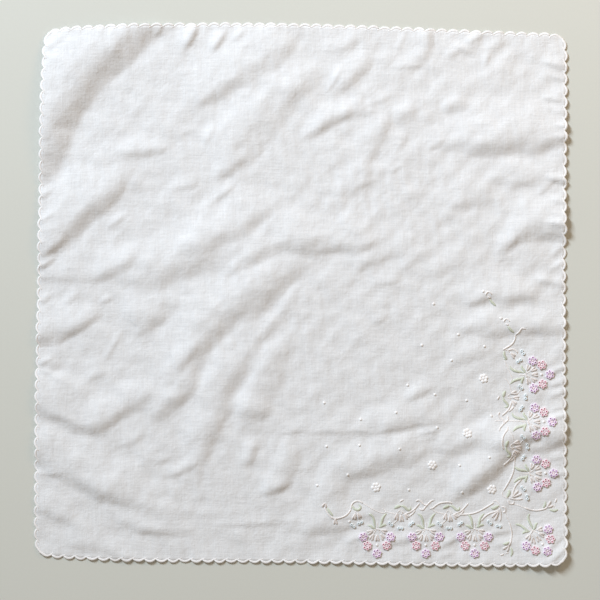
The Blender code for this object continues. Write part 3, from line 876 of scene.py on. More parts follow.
def outline_and_grid(across, up):
    """Places of the sheet's points in millimetres, from how far they are across and up it in scallops."""
    toward_x = (CORNER_WIDTH - np.minimum(across, SIDE - across)) / CORNER_WIDTH
    toward_y = (CORNER_WIDTH - np.minimum(up, SIDE - up)) / CORNER_WIDTH
    in_corner = (toward_x > 0.0) & (toward_y > 0.0)
    rounded_x, rounded_y = round_corner(np.clip(toward_x, 0.0, 1.0), np.clip(toward_y, 0.0, 1.0))
    side_x = np.where(across < SIDE / 2, -1.0, 1.0)
    side_y = np.where(up < SIDE / 2, -1.0, 1.0)
    inset = SIDE / 2 - CORNER_WIDTH
    moved_across = np.where(in_corner, SIDE / 2 + side_x * (inset + CORNER_WIDTH * rounded_x), across)
    moved_up = np.where(in_corner, SIDE / 2 + side_y * (inset + CORNER_WIDTH * rounded_y), up)
    place = lay_out(moved_across / SIDE, moved_up / SIDE)
    on_side = (across <= 0.0) | (across >= SIDE)
    on_end = (up <= 0.0) | (up >= SIDE)
    place[:, 0] += np.where(on_side, side_x * scallop_bulge(up), 0.0)
    place[:, 1] += np.where(on_end, side_y * scallop_bulge(across), 0.0)
    return place


def ridge(fold, x, y):
    """The rise that one fold gives at each point."""
    run_x, run_y = fold.end_x - fold.start_x, fold.end_y - fold.start_y
    length = math.hypot(run_x, run_y)
    along = ((x - fold.start_x) * run_x + (y - fold.start_y) * run_y) / length**2
    across = ((y - fold.start_y) * run_x - (x - fold.start_x) * run_y) / length
    across = across - fold.bow * 4.0 * along * (1.0 - along)
    fade = smooth_step(along / FADE_OF_FOLD) * smooth_step((1.0 - along) / FADE_OF_FOLD)
    narrowed = NARROWEST_SHARE + (1.0 - NARROWEST_SHARE) * fade
    gentle = np.exp(-((across / (fold.gentle_width * narrowed)) ** 2))
    steep = np.clip(1.0 - (across / (fold.steep_width * narrowed)) ** 2, 0.0, 1.0) ** FOOT_SHARPNESS
    return fold.height * fade * np.where(across > 0.0, steep, gentle)


def wandered(x, y):
    """Each point moved a few millimetres, so that no fold runs as straight as its line."""
    moved_x, moved_y = np.array(x, dtype=float), np.array(y, dtype=float)
    for wander in WANDERS:
        turns = math.tau / wander.wave_length
        for_right = WANDER_RIGHT_ALONG[0] * x + WANDER_RIGHT_ALONG[1] * y
        for_up = WANDER_UP_ALONG[0] * x + WANDER_UP_ALONG[1] * y
        moved_x = moved_x + wander.reach * np.sin(turns * for_right + wander.start)
        moved_y = moved_y + wander.reach * np.sin(turns * for_up + 2.0 * wander.start)
    return moved_x, moved_y


def height_of_folds(x, y):
    """How far the solid's underside is off the table at each point."""
    x, y = wandered(x, y)
    total = np.full_like(x, -SETTLING)
    for fold in FOLDS:
        total += ridge(fold, x, y)
    for rise in RISES:
        away = ((x - rise.x) / rise.length_x) ** 2 + ((y - rise.y) / rise.length_y) ** 2
        total += rise.height * np.exp(-away)
    soft = SOFTNESS_OF_CONTACT
    return np.where(total > soft, total, (np.maximum(total, -soft) + soft) ** 2 / (4.0 * soft))


def ripples(x, y):
    """Small waves in every direction, never below 0."""
    chance = np.random.default_rng(RIPPLE_SEED)
    total = np.zeros_like(x)
    crumple = np.ones_like(x)
    for patch in CRUMPLED:
        away = ((x - patch.x) / patch.length_x) ** 2 + ((y - patch.y) / patch.length_y) ** 2
        crumple += patch.more * np.exp(-away)
    least = (0.0, 0.0, LEAST_STRETCH)
    most = (math.pi, math.tau, MOST_STRETCH)
    for ripple in RIPPLES:
        waves = np.zeros_like(x)
        for heading, start, stretch in chance.uniform(least, most, (ripple.waves, 3)):
            turns = math.tau / (ripple.wave_length * stretch)
            waves += np.sin(turns * (x * math.cos(heading) + y * math.sin(heading)) + start)
        share = crumple if ripple.wave_length < SMALL_RIPPLE else 1.0
        total += ripple.height * share * (1.0 + waves / math.sqrt(ripple.waves))
    return np.maximum(total, 0.0)


def side_places(x, y):
    """For each side, how far along it a point is, in scallops, and how far in from its line of notches."""
    u = (x - BOTTOM_LEFT[0]) / (BOTTOM_RIGHT[0] - BOTTOM_LEFT[0])
    v = (y - BOTTOM_RIGHT[1]) / (TOP_RIGHT[1] - BOTTOM_RIGHT[1])
    bottom = BOTTOM_LEFT[1] + (BOTTOM_RIGHT[1] - BOTTOM_LEFT[1]) * u - bow_at(BOTTOM_BOW, u)
    top = TOP_LEFT[1] + (TOP_RIGHT[1] - TOP_LEFT[1]) * u + bow_at(TOP_BOW, u)
    left = BOTTOM_LEFT[0] + (TOP_LEFT[0] - BOTTOM_LEFT[0]) * v - bow_at(LEFT_BOW, v)
    right = BOTTOM_RIGHT[0] + (TOP_RIGHT[0] - BOTTOM_RIGHT[0]) * v + bow_at(RIGHT_BOW, v)
    return ((u * SIDE, y - bottom), (u * SIDE, top - y), (v * SIDE, x - left), (v * SIDE, right - x))


def puckers(x, y):
    """Short ridges that run in from the middle of each scallop, some strong and some hardly there."""
    total = np.zeros_like(x)
    for number, (along, inset) in enumerate(side_places(x, y)):
        leaning = along + PUCKER_LEAN * inset / PUCKER_REACH - CORNER_WIDTH
        scallop = np.floor(leaning)
        quick_wave = np.sin(PUCKER_QUICK_WAVE * scallop + PUCKER_SIDE_SHIFT * number)
        strength = 0.5 + 0.5 * quick_wave * np.cos(PUCKER_SLOW_WAVE * scallop)
        ridge_here = np.sin(math.pi * np.mod(leaning, 1.0)) ** 2
        fade = np.exp(-((inset / PUCKER_REACH) ** 2))
        total += PUCKER_HEIGHT * strength * ridge_here * fade
    return total


def underside(x, y):
    """Height of the sheet's underside over the table."""
    total = height_of_folds(x, y) + ripples(x, y) + puckers(x, y)
    for crease in CREASES:
        total += ridge(crease, x, y)
    return total


def sheet_thickness():
    return bpy.context.scene.handkerchief_cloth.thickness / MM


def face_height(x, y):
    """Height of the sheet's upper face, on which the thread work lies."""
    return underside(x, y) + sheet_thickness()


def read_places(mesh):
    places = np.empty(len(mesh.vertices) * 3)
    mesh.vertices.foreach_get("co", places)
    return places.reshape(-1, 3)


def write_places(mesh, places):
    mesh.vertices.foreach_set("co", places.ravel())
    mesh.update()


def new_group(name, inputs, outputs):
    """An empty shader group with named float, vector or colour sockets, and its two end nodes."""
    group = bpy.data.node_groups.new(name, "ShaderNodeTree")
    kinds = {"float": "NodeSocketFloat", "vector": "NodeSocketVector", "colour": "NodeSocketColor"}
    for label, kind, default in inputs:
        socket = group.interface.new_socket(label, in_out="INPUT", socket_type=kinds[kind])
        if default is not None:
            socket.default_value = default
    for label, kind in outputs:
        group.interface.new_socket(label, in_out="OUTPUT", socket_type=kinds[kind])
    return group, group.nodes.new("NodeGroupInput"), group.nodes.new("NodeGroupOutput")


def math_node(tree, operation, first, second=None):
    """A Math node whose inputs are sockets or numbers, and its result."""
    node = tree.nodes.new("ShaderNodeMath")
    node.operation = operation
    for socket, value in zip(node.inputs, (first, second)):
        if isinstance(value, bpy.types.NodeSocket):
            tree.links.new(value, socket)
        elif value is not None:
            socket.default_value = value
    return node.outputs[0]


def scaled_noise(tree, vector, scale, detail):
    """A noise texture on a vector that is first scaled along each axis, and its value."""
    mapping = tree.nodes.new("ShaderNodeMapping")
    mapping.inputs["Scale"].default_value = scale
    tree.links.new(vector, mapping.inputs["Vector"])
    noise = tree.nodes.new("ShaderNodeTexNoise")
    noise.inputs["Scale"].default_value = 1.0
    noise.inputs["Detail"].default_value = detail
    tree.links.new(mapping.outputs["Vector"], noise.inputs["Vector"])
    return noise.outputs["Fac"]


def weave_group():
    """Plain weave of uneven linen yarn: how its shade and its height change over the cloth."""
    group, ins, outs = new_group(
        "plain_weave",
        (
            ("Vector", "vector", None),
            ("Yarn Pitch", "float", YARN_PITCH),
            ("Unevenness", "float", YARN_UNEVENNESS),
        ),
        (("Shade", "float"), ("Height", "float")),
    )
    vector = ins.outputs["Vector"]
    split = group.nodes.new("ShaderNodeSeparateXYZ")
    group.links.new(vector, split.inputs["Vector"])
    turn = math_node(group, "DIVIDE", math.pi, ins.outputs["Yarn Pitch"])
    warp = math_node(group, "SINE", math_node(group, "MULTIPLY", split.outputs["X"], turn))
    weft = math_node(group, "SINE", math_node(group, "MULTIPLY", split.outputs["Y"], turn))
    crossings = math_node(group, "MULTIPLY", math_node(group, "MULTIPLY", warp, weft), CROSSING_SHARE)
    warp_yarn = scaled_noise(group, vector, WARP_YARN, 1.0)
    weft_yarn = scaled_noise(group, vector, WEFT_YARN, 1.0)
    warp_band = scaled_noise(group, vector, WARP_BAND, 1.0)
    weft_band = scaled_noise(group, vector, WEFT_BAND, 1.0)
    yarns = math_node(group, "MULTIPLY", math_node(group, "ADD", warp_yarn, weft_yarn), YARN_SHARE)
    bands = math_node(group, "MULTIPLY", math_node(group, "ADD", warp_band, weft_band), BAND_SHARE)
    grain = math_node(group, "MULTIPLY", scaled_noise(group, vector, YARN_GRAIN, 1.0), GRAIN_SHARE)
    together = math_node(group, "ADD", math_node(group, "ADD", yarns, bands), grain)
    middle = NOISE_MIDDLE * (2.0 * YARN_SHARE + 2.0 * BAND_SHARE + GRAIN_SHARE)
    centred = math_node(group, "SUBTRACT", together, middle)
    uneven = math_node(group, "MULTIPLY", centred, ins.outputs["Unevenness"])
    group.links.new(math_node(group, "ADD", 1.0, uneven), outs.inputs["Shade"])
    group.links.new(math_node(group, "ADD", crossings, together), outs.inputs["Height"])
    return group


def crinkle_group():
    """Fine crumpling of washed linen in two sizes: its height."""
    group, ins, outs = new_group("crinkle", (("Vector", "vector", None),), (("Height", "float"),))
    vector = ins.outputs["Vector"]
    coarse = scaled_noise(group, vector, (COARSE_CRINKLE,) * 3, 3.0)
    fine = scaled_noise(group, vector, (FINE_CRINKLE,) * 3, 2.0)
    share = math_node(group, "MULTIPLY", fine, FINE_CRINKLE_SHARE)
    group.links.new(math_node(group, "ADD", coarse, share), outs.inputs["Height"])
    return group


def thread_group():
    """Twisted embroidery cotton: how its shade and height change along and round a stitch."""
    group, ins, outs = new_group(
        "sewn_thread",
        (("Vector", "vector", None), ("Place", "vector", None), ("Twist Pitch", "float", TWIST_PITCH)),
        (("Shade", "float"), ("Height", "float")),
    )
    split = group.nodes.new("ShaderNodeSeparateXYZ")
    group.links.new(ins.outputs["Vector"], split.inputs["Vector"])
    steps = math_node(group, "DIVIDE", split.outputs["X"], ins.outputs["Twist Pitch"])
    turns = math_node(group, "ADD", steps, split.outputs["Y"])
    wave = math_node(group, "SINE", math_node(group, "MULTIPLY", turns, math.tau))
    twist = math_node(group, "MULTIPLY", wave, TWIST_SHARE)
    patches = scaled_noise(group, ins.outputs["Place"], (THREAD_PATCHES,) * 3, 2.0)
    spread = math_node(group, "MULTIPLY", math_node(group, "SUBTRACT", patches, NOISE_MIDDLE), THREAD_SPREAD)
    group.links.new(math_node(group, "ADD", 1.0, spread), outs.inputs["Shade"])
    group.links.new(math_node(group, "ADD", twist, patches), outs.inputs["Height"])
    return group


def shared_group(name, make):
    return bpy.data.node_groups.get(name) or make()


def group_node(tree, group):
    node = tree.nodes.new("ShaderNodeGroup")
    node.node_tree = group
    return node


def surface_map(tree, name):
    node = tree.nodes.new("ShaderNodeUVMap")
    node.uv_map = name
    return node.outputs["UV"]


def shaded(tree, colour, shade):
    """A colour, or a colour socket, made lighter or darker by a shade."""
    scale = tree.nodes.new("ShaderNodeVectorMath")
    scale.operation = "SCALE"
    if isinstance(colour, bpy.types.NodeSocket):
        tree.links.new(colour, scale.inputs[0])
    else:
        scale.inputs[0].default_value = tuple(colour)[:3]
    tree.links.new(shade, scale.inputs["Scale"])
    return scale.outputs["Vector"]


def bump(tree, height, distance, normal=None):
    node = tree.nodes.new("ShaderNodeBump")
    node.inputs["Strength"].default_value = 1.0
    node.inputs["Distance"].default_value = distance
    tree.links.new(height, node.inputs["Height"])
    if normal is not None:
        tree.links.new(normal, node.inputs["Normal"])
    return node.outputs["Normal"]


def new_material(name, roughness, sheen):
    material = bpy.data.materials.new(name)
    material.use_nodes = True
    shader = material.node_tree.nodes["Principled BSDF"]
    shader.inputs["Roughness"].default_value = roughness
    shader.inputs["Sheen Weight"].default_value = sheen
    shader.inputs["Sheen Roughness"].default_value = SHEEN_ROUGHNESS
    return material, material.node_tree, shader


def make_lawn_material(cloth):
    """Fine bleached linen: uneven plain weave over a light crumple."""
    material, tree, shader = new_material("linen_lawn", roughness=0.82, sheen=0.12)
    flat = surface_map(tree, "weave")
    weave = group_node(tree, shared_group("plain_weave", weave_group))
    weave.inputs["Yarn Pitch"].default_value = cloth.yarn_pitch
    weave.inputs["Unevenness"].default_value = YARN_UNEVENNESS
    tree.links.new(flat, weave.inputs["Vector"])
    crinkle = group_node(tree, shared_group("crinkle", crinkle_group))
    tree.links.new(flat, crinkle.inputs["Vector"])
    tree.links.new(shaded(tree, cloth.linen, weave.outputs["Shade"]), shader.inputs["Base Color"])
    crumpled = bump(tree, crinkle.outputs["Height"], CRINKLE_BUMP)
    woven = bump(tree, weave.outputs["Height"], WEAVE_BUMP, crumpled)
    tree.links.new(woven, shader.inputs["Normal"])
    return material


def make_thread_material(name, colour, hollow_shade=None):
    """Embroidery cotton. With a hollow shade, the inner side of each ring knot takes that darker colour as
    painted shade.
    """
    material, tree, shader = new_material(name, roughness=0.55, sheen=0.25)
    around = surface_map(tree, "thread")
    place = tree.nodes.new("ShaderNodeTexCoord").outputs["Object"]
    twist = group_node(tree, shared_group("sewn_thread", thread_group))
    tree.links.new(around, twist.inputs["Vector"])
    tree.links.new(place, twist.inputs["Place"])
    base = tuple(colour)
    # Painted shade: the inner side of each ring knot is blended towards a darker, deeper colour, where shade
    # falls in its hollow
    if hollow_shade is not None:
        split = tree.nodes.new("ShaderNodeSeparateXYZ")
        tree.links.new(around, split.inputs["Vector"])
        hollow_shade_mask = tree.nodes.new("ShaderNodeMapRange")
        hollow_shade_mask.inputs["From Min"].default_value = HOLLOW_SHADE_FROM
        hollow_shade_mask.inputs["From Max"].default_value = HOLLOW_SHADE_FULL
        tree.links.new(split.outputs["Y"], hollow_shade_mask.inputs["Value"])
        mix = tree.nodes.new("ShaderNodeMix")
        mix.data_type = "RGBA"
        mix.inputs[MIX_FIRST].default_value = base
        mix.inputs[MIX_SECOND].default_value = tuple(hollow_shade)
        tree.links.new(hollow_shade_mask.outputs["Result"], mix.inputs["Factor"])
        base = mix.outputs[MIX_RESULT]
    tree.links.new(shaded(tree, base, twist.outputs["Shade"]), shader.inputs["Base Color"])
    tree.links.new(bump(tree, twist.outputs["Height"], TWIST_BUMP), shader.inputs["Normal"])
    return material


def make_piece(name, mesh, materials):
    """Puts a finished mesh in the scene as a piece of the handkerchief."""
    for material in materials:
        mesh.materials.append(material)
    mesh.shade_smooth()
    piece = bpy.data.objects.new(name, mesh)
    bpy.context.scene.collection.objects.link(piece)
    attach(piece, "root")
    return piece


def smooth_path(points, spacing):
    """Points about a spacing apart on a smooth curve through the given ones."""
    points = np.array(points, dtype=float)
    before = np.vstack([2 * points[0] - points[1], points, 2 * points[-1] - points[-2]])
    path = [points[:1]]
    for p0, p1, p2, p3 in zip(before, before[1:], before[2:], before[3:]):
        steps = max(2, round(float(np.linalg.norm(p2 - p1)) / spacing))
        t = (np.arange(1, steps + 1) / steps)[:, None]
        square = 2 * p0 - 5 * p1 + 4 * p2 - p3
        cube = 3 * p1 - p0 - 3 * p2 + p3
        path.append(0.5 * (2 * p1 + (p2 - p0) * t + square * t**2 + cube * t**3))
    return np.vstack(path)


def sweep(path, half_widths, heights, sides=TUBE_SIDES, sink=TUBE_SINK):
    """A closed tube of thread, sunk a little in the cloth, from a grid that is rolled up round its path."""
    stations = len(path)
    run = np.gradient(path[:, :2], axis=0)
    run /= np.linalg.norm(run, axis=1)[:, None] + TINY
    lengths = np.concatenate([[0.0], np.cumsum(np.linalg.norm(np.diff(path, axis=0), axis=1))])
    bm = bmesh.new()
    layer = bm.loops.layers.uv.new("thread")
    bmesh.ops.create_grid(bm, x_segments=stations - 1, y_segments=sides, size=0.5)
    for face in bm.faces:
        for loop in face.loops:
            station = round((loop.vert.co.x + 0.5) * (stations - 1))
            loop[layer].uv = (lengths[station], 0.25 + loop.vert.co.y)
    for point in bm.verts:
        station = round((point.co.x + 0.5) * (stations - 1))
        angle = math.tau * (point.co.y + 0.5)
        aside = half_widths[station] * math.cos(angle)
        above = heights[station] * (0.5 * math.sin(angle) + 0.5 - sink)
        point.co = (
            path[station][0] - run[station][1] * aside,
            path[station][1] + run[station][0] * aside,
            above,
        )
    bmesh.ops.remove_doubles(bm, verts=bm.verts, dist=WELD)
    bmesh.ops.holes_fill(bm, edges=[edge for edge in bm.edges if edge.is_boundary], sides=sides)
    bmesh.ops.recalc_face_normals(bm, faces=bm.faces)
    return bm


def stroke_stitch(stroke, place):
    """A stroke of one kind, with its points put on the cloth by a function."""
    kind = KINDS[stroke.kind]
    path = smooth_path([place(*point) for point in stroke.points], STATION_SPACING)
    t = np.linspace(0.0, 1.0, len(path))
    if kind.pointed:
        profile = np.sin(math.pi * t) ** LEAF_FULLNESS
    else:
        near_end = np.clip(np.minimum(t, 1.0 - t) * len(path) / ROUNDED_STATIONS, 0.0, 1.0)
        profile = np.sqrt(1.0 - (1.0 - near_end) ** 2)
    profile = np.maximum(profile, NARROWEST_END)
    return sweep(path, kind.half_width * profile, kind.height * np.maximum(profile, LOWEST_END))


def bell_stitches(bell, place):
    """A bell flower: a round head that opens into two legs."""
    head, first, second = (np.array(place(*point)) for point in bell)
    for tip in (first, second):
        start = head + LEG_START * (tip - head)
        middle = head + 0.5 * (tip - head) + BELL_SPLAY * (tip - 0.5 * (first + second))
        path = smooth_path([start, middle, tip], STATION_SPACING)
        t = np.linspace(0.0, 1.0, len(path))
        rounding = np.minimum((t + BELL_HEAD_START) * BELL_HEAD_ROUNDING, (1.0 - t) * BELL_FOOT_ROUNDING)
        profile = np.sqrt(np.clip(rounding, BELL_NARROWEST, 1.0))
        width = BELL_NECK + (BELL_FOOT - BELL_NECK) * smooth_step(BELL_WIDENING * t)
        yield sweep(path, width * profile, BELL_HEIGHT * np.maximum(profile, BELL_LOWEST), sink=BELL_SINK)


def ring_knot(radius, thread_radius):
    """A ring of wrapped thread, by spinning a small circle round the knot's axis."""
    bm = bmesh.new()
    layer = bm.loops.layers.uv.new("thread")
    upright = Matrix.Rotation(math.radians(90.0), 4, "X")
    start = Matrix.Translation((radius, 0.0, thread_radius * RING_LIFT)) @ upright
    circle = bmesh.ops.create_circle(bm, segments=RING_SIDES, radius=thread_radius, matrix=start)["verts"]
    edges = list({edge for point in circle for edge in point.link_edges})
    bmesh.ops.spin(
        bm, geom=list(circle) + edges, axis=(0, 0, 1), cent=(0, 0, 0), steps=RING_STEPS, angle=math.tau,
        use_merge=True,
    )
    bmesh.ops.recalc_face_normals(bm, faces=bm.faces)
    for face in bm.faces:
        middle = face.calc_center_median()
        around_middle = math.atan2(middle.y, middle.x)
        for loop in face.loops:
            place = loop.vert.co
            around = math.atan2(place.y, place.x)
            around += math.tau * round((around_middle - around) / math.tau)
            # The second coordinate runs from 0 on the ring's outside to 0.5 on its inside, and places the
            # painted shade of the hollow
            out = math.hypot(place.x, place.y) - radius
            inward = 0.5 - 0.5 * out / thread_radius
            loop[layer].uv = (around * radius, 0.5 * inward)
    return bm


def dome_knot(radius, height):
    """A small round knot, which is sunk a little in the cloth."""
    bm = bmesh.new()
    bm.loops.layers.uv.new("thread")
    bmesh.ops.create_uvsphere(bm, u_segments=DOME_SEGMENTS, v_segments=DOME_RINGS, radius=1.0)
    for point in bm.verts:
        above = height * (DOME_MIDDLE + (1.0 - DOME_MIDDLE) * point.co.z)
        point.co = (point.co.x * radius, point.co.y * radius, above)
    return bm


class Stitching:
    """The stitches of one piece, flat and in millimetres until they are laid on the cloth."""

    def __init__(self):
        self.bm = bmesh.new()
        self.bm.loops.layers.uv.new("thread")

    def add(self, stitch):
        mesh = bpy.data.meshes.new("stitch")
        stitch.to_mesh(mesh)
        stitch.free()
        self.bm.from_mesh(mesh)
        bpy.data.meshes.remove(mesh)

    def add_knots(self, knot, places, tilt=0.0, lift=0.0):
        """Copies of one knot, each at a place and turned, then tipped outwards and lifted."""
        pattern = bpy.data.meshes.new("knot")
        knot.to_mesh(pattern)
        knot.free()
        for x, y, turn in places:
            known = len(self.bm.verts)
            self.bm.from_mesh(pattern)
            self.bm.verts.ensure_lookup_table()
            turned = Matrix.Rotation(turn, 4, "Z") @ Matrix.Rotation(tilt, 4, "Y")
            move = Matrix.Translation((x, y, lift)) @ turned
            bmesh.ops.transform(self.bm, matrix=move, verts=self.bm.verts[known:])
        bpy.data.meshes.remove(pattern)

    def lay(self, name, materials):
        """Lifts the stitches on to the cloth's face and makes them a piece."""
        mesh = bpy.data.meshes.new(name)
        self.bm.to_mesh(mesh)
        self.bm.free()
        places = read_places(mesh)
        places[:, 2] += face_height(places[:, 0], places[:, 1])
        write_places(mesh, places * MM)
        return make_piece(name, mesh, materials)


def on_bottom(along, inward):
    """A place of the border's bottom side, from the corner along it and from its line of hubs inwards."""
    return CORNER_POINT[0] - along, CORNER_POINT[1] + SPRAY_INSET_BOTTOM + inward


def on_right(along, inward):
    inset = SPRAY_INSET_RIGHT + SLANT_OF_RIGHT * along + inward
    return CORNER_POINT[0] - inset, CORNER_POINT[1] + along


SIDES = ((on_bottom, SPRAYS_ALONG_BOTTOM), (on_right, SPRAYS_ALONG_RIGHT))


def from_station(side, station):
    """Places of a side measured from a station along it."""
    return lambda along, inward: side(station + along, inward)


def spray_places():
    """For each spray, the function that puts its points on the cloth."""
    for side, distances in SIDES:
        for distance in distances:
            yield lambda across, outward, side=side, distance=distance: side(distance + across, -outward)
    hub_x, hub_y = CORNER_POINT[0] - CORNER_SPRAY_INSET, CORNER_POINT[1] + CORNER_SPRAY_INSET
    facing = math.radians(-45.0) + CORNER_SPRAY_TURN
    cosine, sine = math.cos(facing), math.sin(facing)
    yield lambda across, outward: (
        hub_x + outward * cosine - across * sine,
        hub_y + outward * sine + across * cosine,
    )


def border_parts():
    """Each part of the border, with the function that puts its points on the cloth."""
    for place in spray_places():
        yield SPRAY, place
    for side, (first, second, third) in SIDES:
        yield INNER_BAY, from_station(side, (first + second) / 2)
        yield OUTER_BAY, from_station(side, (second + third) / 2)
        yield CORNER, side
    yield BOTTOM_END, from_station(on_bottom, SPRAYS_ALONG_BOTTOM[-1])
    at_right_end = from_station(on_right, SPRAYS_ALONG_RIGHT[-1])
    yield RIGHT_END, at_right_end
    yield SPRIG, at_right_end
    further, inwards = LOOSE_SPRIG_AWAY
    yield SPRIG, lambda along, inward: at_right_end(along + further, inward + inwards)


def floret_places():
    corner_x, corner_y = CORNER_POINT
    for floret in FLORETS:
        yield corner_x - floret.from_right, corner_y + floret.from_bottom


def circle_of_knots(centre, count, radius, chance):
    """Places and turns of the knots of one flower, which starts at a chance turn and is a little uneven."""
    start = chance.uniform(0.0, math.tau)
    knots = []
    for number in range(count):
        uneven_angle, uneven_radius = chance.uniform(-KNOT_UNEVENNESS, KNOT_UNEVENNESS, 2)
        angle = start + math.tau * number / count + 0.5 * uneven_angle
        out = radius * (1.0 + 0.5 * uneven_radius)
        knots.append((centre[0] + out * math.cos(angle), centre[1] + out * math.sin(angle), angle))
    return knots


def scallop_paths():
    """The line of each scallop's rim, counter-clockwise round the cloth, from the bottom left."""
    for turn in range(4):
        starts = [CORNER_WIDTH + number for number in range(SCALLOPS_PER_SIDE)]
        for along in [np.linspace(start, start + 1.0, CORD_STATIONS) for start in starts]:
            yield edge_line(turn, along)
        to_corner = np.linspace(SIDE - CORNER_WIDTH, SIDE + CORNER_WIDTH, CORNER_CORD_STATIONS)
        yield edge_line(turn, to_corner)


def edge_line(turn, along):
    """Places on the rim at distances in scallops along one side, which may run on past its corner."""
    on_next = np.maximum(along - SIDE, 0.0)
    on_this = np.minimum(along, SIDE)
    across, up = on_this, on_next
    for _ in range(turn):
        across, up = SIDE - up, across
    return outline_and_grid(across, up)


def scallop_stitch(path):
    """The cord of one scallop: thickest in its middle, with a thin tail at its end."""
    run = np.gradient(path, axis=0)
    run /= np.linalg.norm(run, axis=1)[:, None]
    inwards = np.stack([-run[:, 1], run[:, 0]], axis=1)
    line = path + CORD_INSET * inwards
    chord = (path[-1] - path[0]) / np.linalg.norm(path[-1] - path[0])
    tail_way = TAIL_ALONG * chord + TAIL_INWARDS * np.array([-chord[1], chord[0]])
    if len(path) > CORD_STATIONS:
        tail_way = TAIL_ALONG * run[-1] + TAIL_INWARDS * inwards[-1]
    distances, tail_widths, tail_heights = np.array(TAIL_STEPS).T
    tail = path[-1] + CORD_INSET * tail_way + (distances * TAIL_LENGTH)[:, None] * tail_way
    swelling = np.sin(math.pi * np.linspace(0.0, 1.0, len(path))) ** CORD_FULLNESS
    half_widths = CORD_HALF_WIDTH_AT_NOTCH + (CORD_HALF_WIDTH - CORD_HALF_WIDTH_AT_NOTCH) * swelling
    half_widths[0] = CORD_START * CORD_HALF_WIDTH_AT_NOTCH
    widths = np.concatenate([half_widths, tail_widths * TAIL_HALF_WIDTH])
    heights = np.concatenate([np.full(len(path), CORD_HEIGHT), tail_heights * CORD_HEIGHT])
    sink = sheet_thickness() / CORD_HEIGHT
    return sweep(np.vstack([line, tail]), widths, heights, sides=CORD_SIDES, sink=sink)


def grid_units(index):
    """How far a line of the sheet's grid is across it, in scallops."""
    lines = (0, CORNER_CELLS, CELLS - CORNER_CELLS, CELLS)
    return np.interp(index, lines, (0.0, CORNER_WIDTH, SIDE - CORNER_WIDTH, SIDE))


def add_table(settings):
    """A pale painted table top, just below the cloth."""
    bm = bmesh.new()
    below = Matrix.Translation((0.0, 0.0, -TABLE_DROP))
    bmesh.ops.create_grid(bm, x_segments=8, y_segments=8, size=TABLE_WIDTH / 2, matrix=below)
    mesh = bpy.data.meshes.new("table_top")
    bm.to_mesh(mesh)
    bm.free()
    material, tree, shader = new_material("painted_table", roughness=0.7, sheen=0.0)
    place = tree.nodes.new("ShaderNodeTexCoord").outputs["Object"]
    cloudy = scaled_noise(tree, place, (TABLE_CLOUDS,) * 3, 2.0)
    speckled = scaled_noise(tree, place, (TABLE_SPECKLES,) * 3, 2.0)
    clouds = math_node(tree, "MULTIPLY", cloudy, CLOUD_SHARE)
    uneven = math_node(tree, "ADD", clouds, math_node(tree, "MULTIPLY", speckled, SPECKLE_SHARE))
    shade = math_node(tree, "ADD", uneven, TABLE_SHADE)
    tree.links.new(shaded(tree, settings.floor, shade), shader.inputs["Base Color"])
    tree.links.new(bump(tree, speckled, TABLE_BUMP), shader.inputs["Normal"])
    mesh.materials.append(material)
    table = bpy.data.objects.new("table_top", mesh)
    bpy.context.scene.collection.objects.link(table)
    table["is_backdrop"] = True


def add_area_light(scene, name, size, power, colour, place, turned_to):
    light = bpy.data.lights.new(name, "AREA")
    light.shape = "RECTANGLE"
    light.size, light.size_y = size
    light.energy = power
    light.color = colour
    lamp = bpy.data.objects.new(name, light)
    lamp.location = place
    lamp.rotation_euler = (Vector(turned_to) - Vector(place)).to_track_quat("-Z", "Y").to_euler()
    scene.collection.objects.link(lamp)


def add_lights(scene, settings):
    reach = LIGHT_DISTANCE * math.cos(LIGHT_ELEVATION)
    height = LIGHT_DISTANCE * math.sin(LIGHT_ELEVATION)
    window = (LIGHT_FROM[0] * reach, LIGHT_FROM[1] * reach, height)
    key_size = (settings.key_width, settings.key_height)
    add_area_light(
        scene, "window_light", key_size, settings.key_power, settings.key_colour, window, LIGHT_TURNED_TO
    )
    side_size = (settings.side_size, settings.side_size)
    middle = (0.0, 0.0, 0.0)
    add_area_light(
        scene, "side_light", side_size, settings.side_power, settings.side_colour, SIDE_LIGHT_AT, middle
    )
    world = bpy.data.worlds.new("light_all_round")
    world.use_nodes = True
    sky = world.node_tree.nodes["Background"]
    sky.inputs["Color"].default_value = (*settings.fill_colour, 1.0)
    sky.inputs["Strength"].default_value = settings.fill
    scene.world = world


def add_camera(scene):
    camera = bpy.data.cameras.new("camera_above")
    camera.lens = LENS
    camera.sensor_width = SENSOR
    rig = bpy.data.objects.new("camera_above", camera)
    rig.location = (CAMERA_OVER[0] * MM, CAMERA_OVER[1] * MM, FRAMED * MM * LENS / SENSOR)
    scene.collection.objects.link(rig)
    scene.camera = rig


